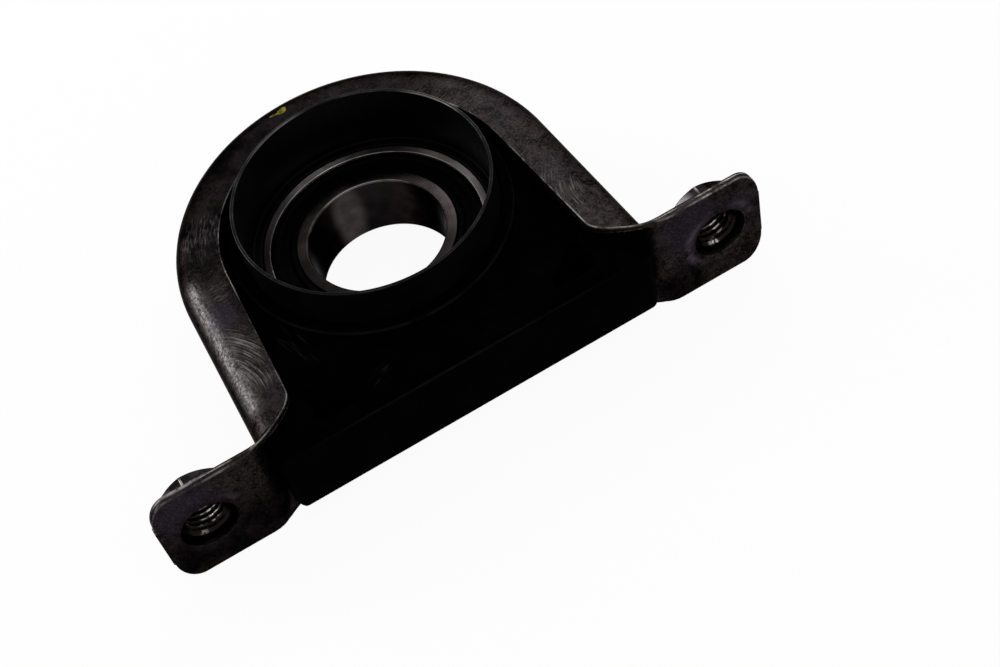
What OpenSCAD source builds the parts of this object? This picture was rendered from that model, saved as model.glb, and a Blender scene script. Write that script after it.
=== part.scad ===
// Driveshaft centre bearing: a sealed ball bearing in a steel cup, carried by a moulded
// rubber cushion in a stamped channel bracket with two bolt-down feet.
// Z is the shaft axis, with the dust shield towards +Z. X runs from foot to foot, and
// +Y from the feet to the top of the arch. The origin is on the shaft axis, half way
// through the bearing. All sizes are in millimetres.

/* [Bearing] */
// Bore of the inner ring
bore_d = 45; // [41:0.5:49]
// Outside diameter of the outer ring
bearing_od = 75; // [71:0.5:81]
// Width of both rings
bearing_w = 23; // [20:0.5:27]
// Radial width of the inner ring's end face
inner_face_w = 3.7; // [3:0.1:4.5]
// Radial width of the outer ring's end face
outer_face_w = 2.7; // [2:0.1:3.5]
// Radial gap between the lands of the two rings
land_gap = 5.6; // [5:0.1:6.4]
// Chamfer on the corners of both rings
ring_chamfer = 0.6; // [0.3:0.1:1.2]
// Diameter of one ball
ball_d = 9.525; // [8.5:0.025:10.2]
// Number of balls
ball_count = 12; // [8:1:13]
// Radial play of a ball in the race grooves
race_play = 0.06; // [0.03:0.01:0.1]

/* [Seals] */
// Thickness of a seal at its beads
seal_t = 2.2; // [1.6:0.1:2.6]
// Depth of a seal below the end faces of the rings
seal_recess = 0.7; // [0.3:0.1:1.2]
// Depth of the shallow groove in a seal's outer side
seal_groove = 0.5; // [0.2:0.1:0.8]
// Radial running gap between a seal's lip and the inner ring
lip_gap = 0.1; // [0.05:0.01:0.2]

/* [Ball cage] */
// Thickness of the cage strip
cage_t = 0.8; // [0.5:0.1:1]
// Radial width of the cage strip
cage_w = 3.8; // [3:0.1:4.4]
// Play of a ball in its cage pocket
pocket_play = 0.12; // [0.08:0.01:0.2]
// Diameter of a cage rivet
rivet_d = 1.6; // [1.2:0.1:2]
// Height of a rivet's head
rivet_head_h = 0.6; // [0.4:0.1:1]

/* [Retainer cup] */
// Sheet thickness of the cup and its dust shield
cup_wall = 1.2; // [0.8:0.1:1.8]
// Radial step from the bearing seat out to the dust shield
shield_step = 2.9; // [2:0.1:4]
// Height of the shield's rim above the bearing's front face
shield_reach = 22.85; // [14:0.05:30]
// Height of the cup's shoulder above the bearing's front face
shoulder_rise = 0.6; // [0.2:0.1:1.5]
// Radial width of the lip behind the bearing
lip_w = 2.2; // [1.5:0.1:2.6]
// Clearance of a press fit, on the radius
press_gap = 0.02; // [0.01:0.01:0.04]

/* [Rubber cushion] */
// Gap between the rubber and the steel around it
cushion_gap = 0.3; // [0.2:0.05:0.5]
// Radial wall of the collar round the dust shield
collar_wall = 4.25; // [3:0.05:6]
// Depth of the cushion's faces below its collar and rim
face_recess = 3; // [2:0.1:6]
// How far the base stands past the mounting face of the feet
base_proud = 3; // [0:0.5:5]
// Rounding of the base's long edges
base_round = 2.5; // [1.5:0.1:6]
// Rounding of the upright corners at the ends of the base
end_round = 5; // [2:0.1:8]
// Width of the rim between the bracket's flanges
rim_w = 6; // [3:0.5:8]
// How far below the shaft axis the channel rim ends
rim_drop = 38; // [30:1:44]
// Distance from the shaft axis to the upright side of a corner pocket
pocket_x = 47.5; // [45:0.5:50]
// Length of a corner pocket along the base
pocket_l = 16.5; // [10:0.5:18]
// Height of a corner pocket above its lower side
pocket_h = 14; // [10:0.5:16]
// Thickness of the rubber under a corner pocket
pocket_floor = 5.5; // [4:0.5:8]
// Depth of a corner pocket
pocket_depth = 15; // [6:1:20]
// Rounding of a corner pocket's corners
pocket_round = 1.5; // [0.5:0.1:2]

/* [Bracket] */
// Outside radius of the arch
arch_r = 64.5; // [62:0.5:70]
// Sheet thickness
sheet_t = 2.7; // [2:0.1:3.6]
// Width of the bracket along the shaft axis
bracket_w = 40.5; // [36:0.5:48]
// Distance from the bearing's middle to the bracket's middle along the shaft axis
bracket_shift = 3.75; // [2:0.25:6]
// Outer radius of the corners between the web and the flanges
corner_r = 9; // [6:0.5:11]
// Reach of the flanges in from the web, at the arch
flange_reach = 16.5; // [13:0.5:17.5]
// Loss of flange reach from the arch to the foot bend
flange_taper = 2.8; // [0:0.1:3]
// Outward lean of the arms
arm_lean = 2.5; // [0.5:0.25:4]
// Radius of the bend between an arm and its foot, on the arch side
bend_r = 8; // [6:0.5:13]

/* [Feet] */
// Distance from the shaft axis down to the mounting face of the feet
foot_drop = 61; // [58:0.5:72]
// Length over both feet
foot_span = 209; // [204:1:230]
// Distance of a foot hole from the middle of its foot's flat, towards the foot's end
hole_shift = -0.1; // [-1:0.1:1]
// Diameter of the foot holes
hole_d = 18; // [16:0.5:19]
// Rounding of the foot corners along X
foot_round_x = 7; // [3:0.5:9]
// Rounding of the foot corners along Z
foot_round_z = 11; // [5:0.5:14]
// Softened edge of the foot sheet
foot_edge = 0.6; // [0.4:0.1:0.8]

/* [Weld nuts] */
// Width across the flats
nut_af = 22; // [21:0.5:24]
// Height of a nut
nut_h = 10; // [8:0.5:12]
// Minor diameter of the thread
thread_d = 12; // [10:0.25:13]
// Chamfer at the thread's mouths and on the hexagon's corners
nut_chamfer = 1.3; // [0.5:0.1:1.6]
// Turn of the hexagon about its own axis
nut_turn = 24; // [0:1:59]

/* [Hidden] */
$fn = 96;
overrun = 1;

bore_r = bore_d / 2;
outside_r = bearing_od / 2;
half_w = bearing_w / 2;
pitch_r = (bore_r + outside_r) / 2;
ball_r = ball_d / 2;
groove_r = ball_r + race_play;
inner_face_r = bore_r + inner_face_w;
outer_face_r = outside_r - outer_face_w;
inner_land_r = pitch_r - land_gap / 2;
outer_land_r = pitch_r + land_gap / 2;
seal_top = half_w - seal_recess;
seal_bottom = seal_top - seal_t;
seal_side_gap = 0.3;
ball_step = 360 / ball_count;

seat_r = outside_r + press_gap;
cup_r = seat_r + cup_wall;
shield_r = outside_r + shield_step;
shield_out_r = shield_r + cup_wall;
shoulder_z = half_w + shoulder_rise;
shoulder_back_z = shoulder_z - cup_wall;
rim_z = half_w + shield_reach;
cup_back_z = -half_w - cup_wall;
cup_soft = cup_wall / 3;

mid_z = bracket_shift;
bracket_half = bracket_w / 2;
foot_top_y = sheet_t - foot_drop;

full_half = bracket_half - sheet_t - cushion_gap;
web_half = full_half - face_recess;
cushion_r = arch_r - sheet_t - cushion_gap;
// Radius that the channel's inner corners leave free for the cushion, the half height of
// its flat web, and how far the cushion's faces stay in from it
channel_r = corner_r - sheet_t - cushion_gap;
channel_flat = min(bracket_half - corner_r, web_half);
layer_inset = channel_r - sqrt(pow(channel_r, 2) - pow(web_half - channel_flat, 2));
collar_r = shield_out_r + collar_wall;
base_y = -foot_drop - base_proud;
// The cushion's sides run along the insides of the leaning arms
side_x = function(y) (cushion_r - y * sin(arm_lean)) / cos(arm_lean);

bend_y = foot_top_y + bend_r;
arm_l = (arch_r * sin(arm_lean) + bend_r * sin(arm_lean) - bend_y) / cos(arm_lean);
bend_x = (arch_r + bend_r) * cos(arm_lean) + arm_l * sin(arm_lean);
hole_x = (bend_x + foot_span / 2) / 2 + hole_shift;

fixed_nodes = [
    "bracket", "left_weld_nut", "right_weld_nut", "rubber_cushion", "bearing_retainer",
    "outer_ring", "inner_ring", "front_seal", "rear_seal",
    "cage_front_half", "cage_rear_half", "cage_rivets"
];
function ball_node(i) = str("ball_", i < 10 ? "0" : "", i);

// Places its children at every ball, or half way between balls
module around_pitch(offset_turn = 0)
    for (i = [0 : ball_count - 1])
        rotate([0, 0, i * ball_step + offset_turn])
            translate([pitch_r, 0, 0])
                children();

// A ring with a square section, from one radius to another
module band(from_r, to_r, from_z, to_z)
    translate([0, 0, from_z])
        difference() {
            cylinder(r = to_r, h = to_z - from_z);
            translate([0, 0, -overrun])
                cylinder(r = from_r, h = to_z - from_z + 2 * overrun);
        }

// Extrudes a drawing of the XZ plane along Y, centred on the shaft axis
module along_y(length)
    rotate([90, 0, 0])
        linear_extrude(length, center = true)
            children();

// Extrudes a drawing of the YZ plane along X, centred on the shaft axis
module along_x(length)
    rotate([90, 0, 90])
        linear_extrude(length, center = true)
            children();

// A rectangle from one corner to the other, with round corners
module round_box(low, high, r) {
    translate([low[0] + r, low[1]])
        square([high[0] - low[0] - 2 * r, high[1] - low[1]]);
    translate([low[0], low[1] + r])
        square([high[0] - low[0], high[1] - low[1] - 2 * r]);
    for (x = [low[0] + r, high[0] - r], y = [low[1] + r, high[1] - r])
        translate([x, y])
            circle(r);
}

// A polygon grown by r, with round corners; the points run counter-clockwise
module round_polygon(points, r) {
    count = len(points);
    polygon([for (i = [0 : count - 1], end = [0, 1])
        let (
            a = points[i],
            b = points[(i + 1) % count],
            along = (b - a) / norm(b - a)
        )
        points[(i + end) % count] + r * [along[1], -along[0]]]);
    for (point = points)
        translate(point)
            circle(r);
}

// The bracket's sheet, lofted along its bent web from foot to foot

function ease(u, power) = pow(1 - u, power);
// One section of the sheet in the plane across the web: depth in from the web's outer
// face and height along the shaft axis, for the front half
corner_steps = 4;
inner_spread = 0.5;
function half_section(radius, reach, half) =
    let (
        inner = max(radius - sheet_t, 0),
        spread = inner_spread * (1 - inner / (corner_r - sheet_t)),
        deep = max(reach, sheet_t),
        outer_arc = [for (k = [0 : corner_steps])
            let (t = 90 * k / corner_steps)
            [radius * (1 - cos(t)), half - radius * (1 - sin(t))]],
        inner_arc = [for (k = [0 : corner_steps])
            let (t = 90 - 90 * k / corner_steps)
            [sheet_t + inner * (1 - cos(t)), half - sheet_t - inner * (1 - sin(t)) - spread * (k + 1)]]
    )
    concat(outer_arc, [[deep, half], [deep, half - sheet_t]], inner_arc);
function section(radius, reach, half) =
    let (
        front = half_section(radius, reach, half),
        count = len(front)
    )
    concat(front, [for (k = [count - 1 : -1 : 0]) [front[k][0], -front[k][1]]]);

// Stations on the right half of the web, from the top of the arch to the foot's end:
// point, direction into the arch, corner radius, flange reach, half width
arch_steps = 15;
arm_steps = 2;
bend_steps = 9;
round_steps = 5;
bend_flange = flange_reach - flange_taper;
flange_fade = 2.7;
corner_fade = 2;
function arch_station(t) =
    let (dir = [cos(t), sin(t)])
    [arch_r * dir, -dir, corner_r, flange_reach, bracket_half];
function arm_station(u) =
    let (dir = [cos(arm_lean), sin(arm_lean)])
    [
        arch_r * dir + u * arm_l * [sin(arm_lean), -cos(arm_lean)],
        -dir, corner_r, flange_reach - u * flange_taper, bracket_half
    ];
function bend_station(u) =
    let (
        t = 180 + arm_lean + u * (90 - arm_lean),
        dir = [cos(t), sin(t)]
    )
    [
        [bend_x, bend_y] + bend_r * dir, dir,
        foot_edge + (corner_r - foot_edge) * ease(u, corner_fade),
        sheet_t + (bend_flange - sheet_t) * ease(u, flange_fade),
        bracket_half
    ];
function foot_station(u) =
    [
        [foot_span / 2 - foot_round_x * (1 - sin(90 * u)), foot_top_y], [0, -1],
        foot_edge, sheet_t, bracket_half - foot_round_z * (1 - cos(90 * u))
    ];
right_stations = concat(
    [for (k = [0 : arch_steps]) arch_station(90 - (90 - arm_lean) * k / arch_steps)],
    [for (k = [1 : arm_steps]) arm_station(k / arm_steps)],
    [for (k = [1 : bend_steps]) bend_station(k / bend_steps)],
    [for (k = [0 : round_steps]) foot_station(k / round_steps)]
);

// The points of one station's section; side is -1 for the left half
function station_points(station, side) =
    [for (p = section(station[2], station[3], station[4]))
        let (flat = station[0] + p[0] * station[1])
        [side * flat[0], flat[1], p[1] + mid_z]];
right_count = len(right_stations);
sections = concat(
    [for (k = [right_count - 1 : -1 : 1]) station_points(right_stations[k], -1)],
    [for (station = right_stations) station_points(station, 1)]
);

module sheet_loft() {
    rings = len(sections);
    sides = len(sections[0]);
    polyhedron(
        points = [for (ring = sections, point = ring) point],
        faces = concat(
            [[for (j = [0 : sides - 1]) j]],
            [for (i = [0 : rings - 2], j = [0 : sides - 1])
                let (next = (j + 1) % sides)
                [i * sides + j, (i + 1) * sides + j, (i + 1) * sides + next, i * sides + next]],
            [[for (j = [sides - 1 : -1 : 0]) (rings - 1) * sides + j]]
        )
    );
}

module bracket()
    color([0.24, 0.22, 0.23])
        difference() {
            sheet_loft();
            for (side = [-1, 1])
                translate([side * hole_x, foot_top_y + overrun, mid_z])
                    rotate([90, 0, 0])
                        cylinder(d = hole_d, h = sheet_t + 2 * overrun);
        }

// A weld nut that stands on the arch side of a foot
module weld_nut(side) {
    corner_d = nut_af / cos(30);
    color([0.34, 0.33, 0.34])
        translate([side * hole_x, foot_top_y, mid_z])
            rotate([-90, 0, 0])
                difference() {
                    intersection() {
                        rotate([0, 0, nut_turn])
                            cylinder(d = corner_d, h = nut_h, $fn = 6);
                        union() {
                            cylinder(d = corner_d + overrun, h = nut_h - nut_chamfer);
                            translate([0, 0, nut_h - nut_chamfer])
                                cylinder(d1 = corner_d, d2 = nut_af - nut_chamfer, h = nut_chamfer);
                        }
                    }
                    translate([0, 0, -overrun])
                        cylinder(d = thread_d, h = nut_h + 2 * overrun);
                    cylinder(d1 = thread_d + 2 * nut_chamfer, d2 = thread_d, h = nut_chamfer);
                    translate([0, 0, nut_h - nut_chamfer])
                        cylinder(d1 = thread_d, d2 = thread_d + 2 * nut_chamfer, h = nut_chamfer);
                }
}

module left_weld_nut() weld_nut(-1);

module right_weld_nut() weld_nut(1);

// Outline of the cushion: a round top on two leaning sides
module cushion_outline(inset) {
    top_r = cushion_r - inset;
    shift = inset / cos(arm_lean);
    circle(top_r);
    polygon([
        [top_r * cos(arm_lean), top_r * sin(arm_lean)],
        [-top_r * cos(arm_lean), top_r * sin(arm_lean)],
        [shift - side_x(base_y), base_y],
        [side_x(base_y) - shift, base_y]
    ]);
}

// A layer of the cushion, as thick as twice its half height
module cushion_layer(inset, half)
    translate([0, 0, mid_z - half])
        linear_extrude(2 * half)
            cushion_outline(inset);

// The block of the cushion, stepped in under the channel's round corners, with the long
// edges of its base and its upright ends rounded
module cushion_block() {
    low_z = mid_z - web_half;
    high_z = mid_z + web_half;
    end_x = side_x(base_y);
    intersection() {
        union() {
            cushion_layer(0, channel_flat);
            cushion_layer(layer_inset, web_half);
        }
        along_x(4 * arch_r)
            round_box([base_y, low_z], [2 * arch_r, high_z], base_round);
        along_y(4 * arch_r)
            round_box([-end_x, low_z], [end_x, high_z], end_round);
    }
}

// The rim of the cushion that fits between the bracket's flanges, above the feet
module cushion_rim()
    translate([0, 0, mid_z - full_half])
        linear_extrude(2 * full_half)
            difference() {
                cushion_outline(channel_r);
                cushion_outline(channel_r + rim_w);
                translate([-2 * arch_r, -2 * arch_r - rim_drop])
                    square([4 * arch_r, 2 * arch_r]);
            }

// A blind pocket in a lower corner of the cushion's front face
module corner_pocket(side) {
    low_y = base_y + pocket_floor + pocket_round;
    far_x = pocket_x - pocket_round;
    translate([0, 0, mid_z + web_half - pocket_depth])
        linear_extrude(pocket_depth + overrun)
            mirror([side < 0 ? 1 : 0, 0])
                round_polygon([
                    [far_x - pocket_l + 2 * pocket_round, low_y],
                    [far_x, low_y],
                    [far_x, low_y + pocket_h - 2 * pocket_round]
                ], pocket_round);
}

module rubber_cushion()
    color([0.035, 0.037, 0.036])
        difference() {
            union() {
                cushion_block();
                cushion_rim();
                translate([0, 0, mid_z - full_half])
                    cylinder(r = collar_r, h = 2 * full_half);
            }
            translate([0, 0, mid_z - bracket_w])
                cylinder(r = cup_r + cushion_gap, h = 2 * bracket_w);
            translate([0, 0, shoulder_back_z - cushion_gap])
                cylinder(r = shield_out_r + cushion_gap, h = 2 * bracket_w);
            for (side = [-1, 1])
                corner_pocket(side);
        }

// The pressed cup that holds the bearing and runs on as the dust shield
module bearing_retainer()
    color([0.06, 0.07, 0.065])
        rotate_extrude()
            polygon([
                [outside_r - lip_w, cup_back_z],
                [cup_r - cup_soft, cup_back_z],
                [cup_r, cup_back_z + cup_soft],
                [cup_r, shoulder_back_z],
                [shield_out_r - cup_soft, shoulder_back_z],
                [shield_out_r, shoulder_back_z + cup_soft],
                [shield_out_r, rim_z - cup_soft],
                [shield_out_r - cup_soft, rim_z],
                [shield_r + cup_soft, rim_z],
                [shield_r, rim_z - cup_soft],
                [shield_r, shoulder_z],
                [seat_r, shoulder_z],
                [seat_r, -half_w],
                [outside_r - lip_w, -half_w]
            ]);

// The ball path that both rings are ground with
module race_groove()
    translate([pitch_r, 0])
        circle(groove_r);

module outer_ring()
    color([0.42, 0.42, 0.42])
        rotate_extrude()
            difference() {
                polygon([
                    [outer_land_r, -seal_bottom],
                    [outer_face_r, -seal_bottom],
                    [outer_face_r, -half_w],
                    [outside_r - ring_chamfer, -half_w],
                    [outside_r, ring_chamfer - half_w],
                    [outside_r, half_w - ring_chamfer],
                    [outside_r - ring_chamfer, half_w],
                    [outer_face_r, half_w],
                    [outer_face_r, seal_bottom],
                    [outer_land_r, seal_bottom]
                ]);
                race_groove();
            }

module inner_ring() {
    step_z = seal_bottom - seal_side_gap;
    color([0.4, 0.37, 0.35])
        rotate_extrude()
            difference() {
                polygon([
                    [bore_r, ring_chamfer - half_w],
                    [bore_r + ring_chamfer, -half_w],
                    [inner_face_r, -half_w],
                    [inner_face_r, -step_z],
                    [inner_land_r, -step_z],
                    [inner_land_r, step_z],
                    [inner_face_r, step_z],
                    [inner_face_r, half_w],
                    [bore_r + ring_chamfer, half_w],
                    [bore_r, half_w - ring_chamfer]
                ]);
                race_groove();
            }
}

// A seal that sits in the outer ring; side is -1 for the rear one
module seal(side) {
    lip_r = inner_face_r + lip_gap;
    edge_r = outer_face_r - press_gap;
    bead = (edge_r - lip_r) / 5;
    color([0.03, 0.03, 0.032])
        mirror([0, 0, side < 0 ? 1 : 0])
            rotate_extrude()
                polygon([
                    [lip_r, seal_bottom],
                    [edge_r, seal_bottom],
                    [edge_r, seal_top],
                    [edge_r - bead, seal_top],
                    [edge_r - 1.5 * bead, seal_top - seal_groove],
                    [lip_r + 1.5 * bead, seal_top - seal_groove],
                    [lip_r + bead, seal_top],
                    [lip_r, seal_top]
                ]);
}

module front_seal() seal(1);

module rear_seal() seal(-1);

// A round bar through every ball place, pointing out from the shaft axis
module radial_bars(r)
    around_pitch()
        rotate([0, 90, 0])
            cylinder(r = r, h = 2 * cage_w, center = true);

// One pressed half of the cage: a flat strip that arches over every ball
module cage_half(side) {
    hole_r = rivet_d / 2 + press_gap;
    pocket_r = ball_r + pocket_play;
    strip_in = pitch_r - cage_w / 2;
    strip_out = pitch_r + cage_w / 2;
    color([0.55, 0.52, 0.46])
        mirror([0, 0, side < 0 ? 1 : 0])
            difference() {
                intersection() {
                    band(strip_in, strip_out, 0, pocket_r + 2 * cage_t);
                    union() {
                        band(strip_in - overrun, strip_out + overrun, -overrun, cage_t);
                        radial_bars(pocket_r + cage_t);
                    }
                }
                radial_bars(pocket_r);
                around_pitch(ball_step / 2)
                    translate([0, 0, -overrun])
                        cylinder(r = hole_r, h = cage_t + 2 * overrun);
            }
}

module cage_front_half() cage_half(1);

module cage_rear_half() cage_half(-1);

module cage_rivets()
    color([0.6, 0.58, 0.55])
        around_pitch(ball_step / 2)
            rotate_extrude()
                polygon([
                    [0, -cage_t - rivet_head_h],
                    [rivet_d / 2, -cage_t - rivet_head_h],
                    [rivet_d, -cage_t],
                    [rivet_d / 2, -cage_t],
                    [rivet_d / 2, cage_t],
                    [rivet_d, cage_t],
                    [rivet_d / 2, cage_t + rivet_head_h],
                    [0, cage_t + rivet_head_h]
                ]);

module ball(i)
    color([0.72, 0.72, 0.74])
        rotate([0, 0, (i - 1) * ball_step])
            translate([pitch_r, 0, 0])
                sphere(ball_r);

bracket();
left_weld_nut();
right_weld_nut();
rubber_cushion();
bearing_retainer();
outer_ring();
inner_ring();
front_seal();
rear_seal();
cage_front_half();
cage_rear_half();
cage_rivets();
for (i = [1 : ball_count])
    ball(i);
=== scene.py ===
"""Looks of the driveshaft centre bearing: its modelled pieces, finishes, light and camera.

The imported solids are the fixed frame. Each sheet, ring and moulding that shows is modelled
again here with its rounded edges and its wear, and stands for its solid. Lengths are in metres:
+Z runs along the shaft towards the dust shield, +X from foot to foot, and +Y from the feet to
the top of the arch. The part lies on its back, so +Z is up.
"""

from __future__ import annotations

import logging
import math
from collections.abc import Callable, Iterable, Sequence
from dataclasses import dataclass, field
from enum import Enum

import bpy
from mathutils import Matrix, Vector


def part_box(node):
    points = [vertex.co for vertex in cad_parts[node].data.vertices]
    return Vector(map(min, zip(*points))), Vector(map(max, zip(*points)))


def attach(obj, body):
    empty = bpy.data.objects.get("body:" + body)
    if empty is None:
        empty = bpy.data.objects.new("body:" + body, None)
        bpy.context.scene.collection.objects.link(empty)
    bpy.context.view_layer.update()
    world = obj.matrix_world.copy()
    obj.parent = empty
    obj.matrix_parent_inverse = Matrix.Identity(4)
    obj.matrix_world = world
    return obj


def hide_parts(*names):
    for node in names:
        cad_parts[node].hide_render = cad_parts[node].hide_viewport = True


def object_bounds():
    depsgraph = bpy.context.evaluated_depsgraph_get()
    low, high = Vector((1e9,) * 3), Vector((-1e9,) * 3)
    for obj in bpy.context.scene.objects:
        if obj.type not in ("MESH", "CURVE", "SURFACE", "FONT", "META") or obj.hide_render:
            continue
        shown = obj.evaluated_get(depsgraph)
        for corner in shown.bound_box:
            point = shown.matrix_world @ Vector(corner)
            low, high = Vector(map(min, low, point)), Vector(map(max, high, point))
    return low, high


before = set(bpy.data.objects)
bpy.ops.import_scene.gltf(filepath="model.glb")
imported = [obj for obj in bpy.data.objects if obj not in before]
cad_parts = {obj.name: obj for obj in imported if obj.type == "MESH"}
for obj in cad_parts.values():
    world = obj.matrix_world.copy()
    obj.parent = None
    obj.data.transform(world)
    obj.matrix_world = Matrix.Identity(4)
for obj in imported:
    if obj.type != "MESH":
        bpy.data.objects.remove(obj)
CAD_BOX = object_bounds()

LOG = logging.getLogger("centre_bearing")
FULL_TURN = 2 * math.pi
RIGHT_ANGLE = math.pi / 2
MERGE_GAP = 2e-6
SMOOTH_ANGLE = math.radians(32)
FLAT_WEIGHT = 80
RING_STEPS = 192

# How far a cutter reaches past the faces that it opens
CUT_PAST = 0.001
# Keeps two faces that are joined or cut out of one plane
FACE_SHIFT = 0.00003

# Sizes that more than one piece follows
ARM_LEAN = math.radians(2.5)
CUP_WALL = 0.0012
CUP_SHOULDER = 0.0006
PRESS_GAP = 0.00002

# Share of a patch's radius that has its full strength
PATCH_CORE = 0.35
# Sums of vectors that give one number
NUMBER_SUMS = ("LENGTH", "DISTANCE")
# Keeps the part of a vector that lies across the shaft
ACROSS = (1.0, 1.0, 0.0)

Colour = tuple[float, float, float]
Point = tuple[float, float]
Relief = tuple[float, float]
Corner = tuple[float, float, float]
Place = tuple[float, float, float]
SheetPoint = tuple[float, float, float, float]


class Side(Enum):
    """The two sides of the part, by the sign of their X."""

    LEFT = -1
    RIGHT = 1

    @property
    def nut(self) -> str:
        """Name of the weld nut on this side."""
        return self.name.lower() + "_weld_nut"


class Face(Enum):
    """The two faces of the bearing, by the sign of their Z."""

    FRONT = 1
    REAR = -1


class Slot(Enum):
    """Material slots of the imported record."""

    BRACKET = "bracket_steel"
    NUT = "nut_steel"
    CUSHION = "cushion_rubber"
    RETAINER = "retainer_steel"
    RING = "ring_steel"
    SEAL = "seal_rubber"


# Modelling steps that the pieces share


def clear_selection() -> None:
    """Leave nothing selected, so that an operator acts on its own piece alone."""
    bpy.ops.object.select_all(action="DESELECT")


def make_active(piece: bpy.types.Object) -> None:
    """Select one piece alone and make it the active one."""
    clear_selection()
    piece.select_set(True)
    bpy.context.view_layer.objects.active = piece


def begin_edit(piece: bpy.types.Object) -> None:
    """Open one piece in edit mode with all of it selected."""
    make_active(piece)
    bpy.ops.object.mode_set(mode="EDIT")
    bpy.ops.mesh.select_all(action="SELECT")


def end_edit() -> None:
    """Go back to object mode."""
    bpy.ops.object.mode_set(mode="OBJECT")


def close_mesh(piece: bpy.types.Object) -> None:
    """Merge the doubles of a mesh, fill its open ends and turn its faces outwards.

    Args:
        piece: The mesh object to close.
    """
    begin_edit(piece)
    bpy.ops.mesh.remove_doubles(threshold=MERGE_GAP)
    bpy.ops.mesh.dissolve_degenerate(threshold=MERGE_GAP)
    bpy.ops.mesh.select_all(action="SELECT")
    bpy.ops.mesh.fill_holes(sides=0)
    bpy.ops.mesh.select_all(action="SELECT")
    bpy.ops.mesh.normals_make_consistent(inside=False)
    end_edit()


def lay(piece: bpy.types.Object, matrix: Matrix) -> bpy.types.Object:
    """Move a mesh in its own data, so that its object stays at the origin.

    Args:
        piece: The mesh object to move.
        matrix: Where it goes, in the row frame.

    Returns:
        The same object.
    """
    piece.data.transform(matrix)
    piece.data.update()
    return piece


def line(start: Point, end: Point, steps: int) -> list[Point]:
    """Points along a straight stretch, without its last one.

    Args:
        start: First point.
        end: Point where the next stretch begins.
        steps: Number of equal steps.

    Returns:
        The points, as many as there are steps.
    """
    return [
        (
            start[0] + (end[0] - start[0]) * k / steps,
            start[1] + (end[1] - start[1]) * k / steps,
        )
        for k in range(steps)
    ]


def distances(points: Sequence[Sequence[float]]) -> list[float]:
    """Distance of each point of a row from the first one, along the row.

    Args:
        points: The points, in order.

    Returns:
        The distances, in the same order.
    """
    found = [0.0]
    for before, after in zip(points, points[1:]):
        found.append(found[-1] + math.dist(before, after))
    return found


def corner_length(radius: float, reach: float) -> float:
    """Length of a face that turns a right-angled rounded corner and runs on.

    Args:
        radius: Radius of the corner.
        reach: How far the face goes, at a right angle to its start.

    Returns:
        The length from the start of the corner.
    """
    straight = max(reach - radius, 0.0)
    if not radius:
        return straight
    return straight + radius * math.acos(min(max(1 - reach / radius, 0.0), 1.0))


def corner_path(start: Point, radius: float, length: float) -> tuple[Vector, Vector]:
    """Place and direction on such a face, which starts along the second coordinate.

    Args:
        start: Where the corner starts.
        radius: Radius of the corner.
        length: Distance along the face from there.

    Returns:
        The place, and the direction of the face.
    """
    turn = min(length / radius, RIGHT_ANGLE) if radius else RIGHT_ANGLE
    flat = max(length - radius * RIGHT_ANGLE, 0.0)
    ahead = Vector((math.sin(turn), math.cos(turn)))
    place = Vector((start[0] + radius * (1 - ahead.y) + flat, start[1] + radius * ahead.x))
    return place, ahead


def quarter(steps: int) -> list[float]:
    """Equally spaced angles from 0 to a right angle."""
    return [*(RIGHT_ANGLE * k / steps for k in range(steps)), RIGHT_ANGLE]


def quarter_round(steps: int) -> list[Point]:
    """Distances from the corner of a rounded edge of radius 1, along its two faces."""
    return [(1 - math.sin(turn), 1 - math.cos(turn)) for turn in quarter(steps)]


def rounded(corners: Sequence[Corner], steps: int) -> list[Point]:
    """Round the corners of a closed outline.

    Args:
        corners: Two coordinates and the rounding of each corner, in order.
        steps: Steps along each rounded corner.

    Returns:
        The points of the outline.
    """
    points: list[Point] = []
    for index, (x, y, radius) in enumerate(corners):
        here = Vector((x, y))
        if radius <= 0:
            points.append((x, y))
            continue
        before = (Vector(corners[index - 1][:2]) - here).normalized()
        after = (Vector(corners[(index + 1) % len(corners)][:2]) - here).normalized()
        half = before.angle(after) / 2
        centre = here + (before + after).normalized() * (radius / math.sin(half))
        arm = here + before * (radius / math.tan(half)) - centre
        sweep = math.pi - 2 * half
        turn = -1 if before.cross(after) > 0 else 1
        for k in range(steps + 1):
            spoke = Matrix.Rotation(turn * sweep * k / steps, 2) @ arm
            points.append(tuple(centre + spoke))
    return points


def outline_mesh(name: str, points: Sequence[Point], filled: bool) -> bpy.types.Object:
    """Lay a circle's points along an outline in the XY plane.

    Args:
        name: Name of the new object.
        points: The outline, in order.
        filled: Whether the outline gets a face.

    Returns:
        The new mesh object.
    """
    clear_selection()
    bpy.ops.mesh.primitive_circle_add(
        vertices=len(points), fill_type="NGON" if filled else "NOTHING"
    )
    piece = bpy.context.object
    piece.name = name
    for vertex, (x, y) in zip(piece.data.vertices, points):
        vertex.co = (x, y, 0)
    return piece


def turned(name: str, profile: Sequence[Point], steps: int = 160) -> bpy.types.Object:
    """Turn a closed profile about the Z axis, as on a lathe.

    Args:
        name: Name of the new object.
        profile: Radius and height of each point, in order.
        steps: Steps of the full turn.

    Returns:
        The new closed mesh object.
    """
    piece = outline_mesh(name, profile, filled=False)
    lay(piece, Matrix.Rotation(RIGHT_ANGLE, 4, "X"))
    begin_edit(piece)
    bpy.ops.mesh.spin(steps=steps, angle=FULL_TURN, center=(0, 0, 0), axis=(0, 0, 1))
    end_edit()
    close_mesh(piece)
    return piece


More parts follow.
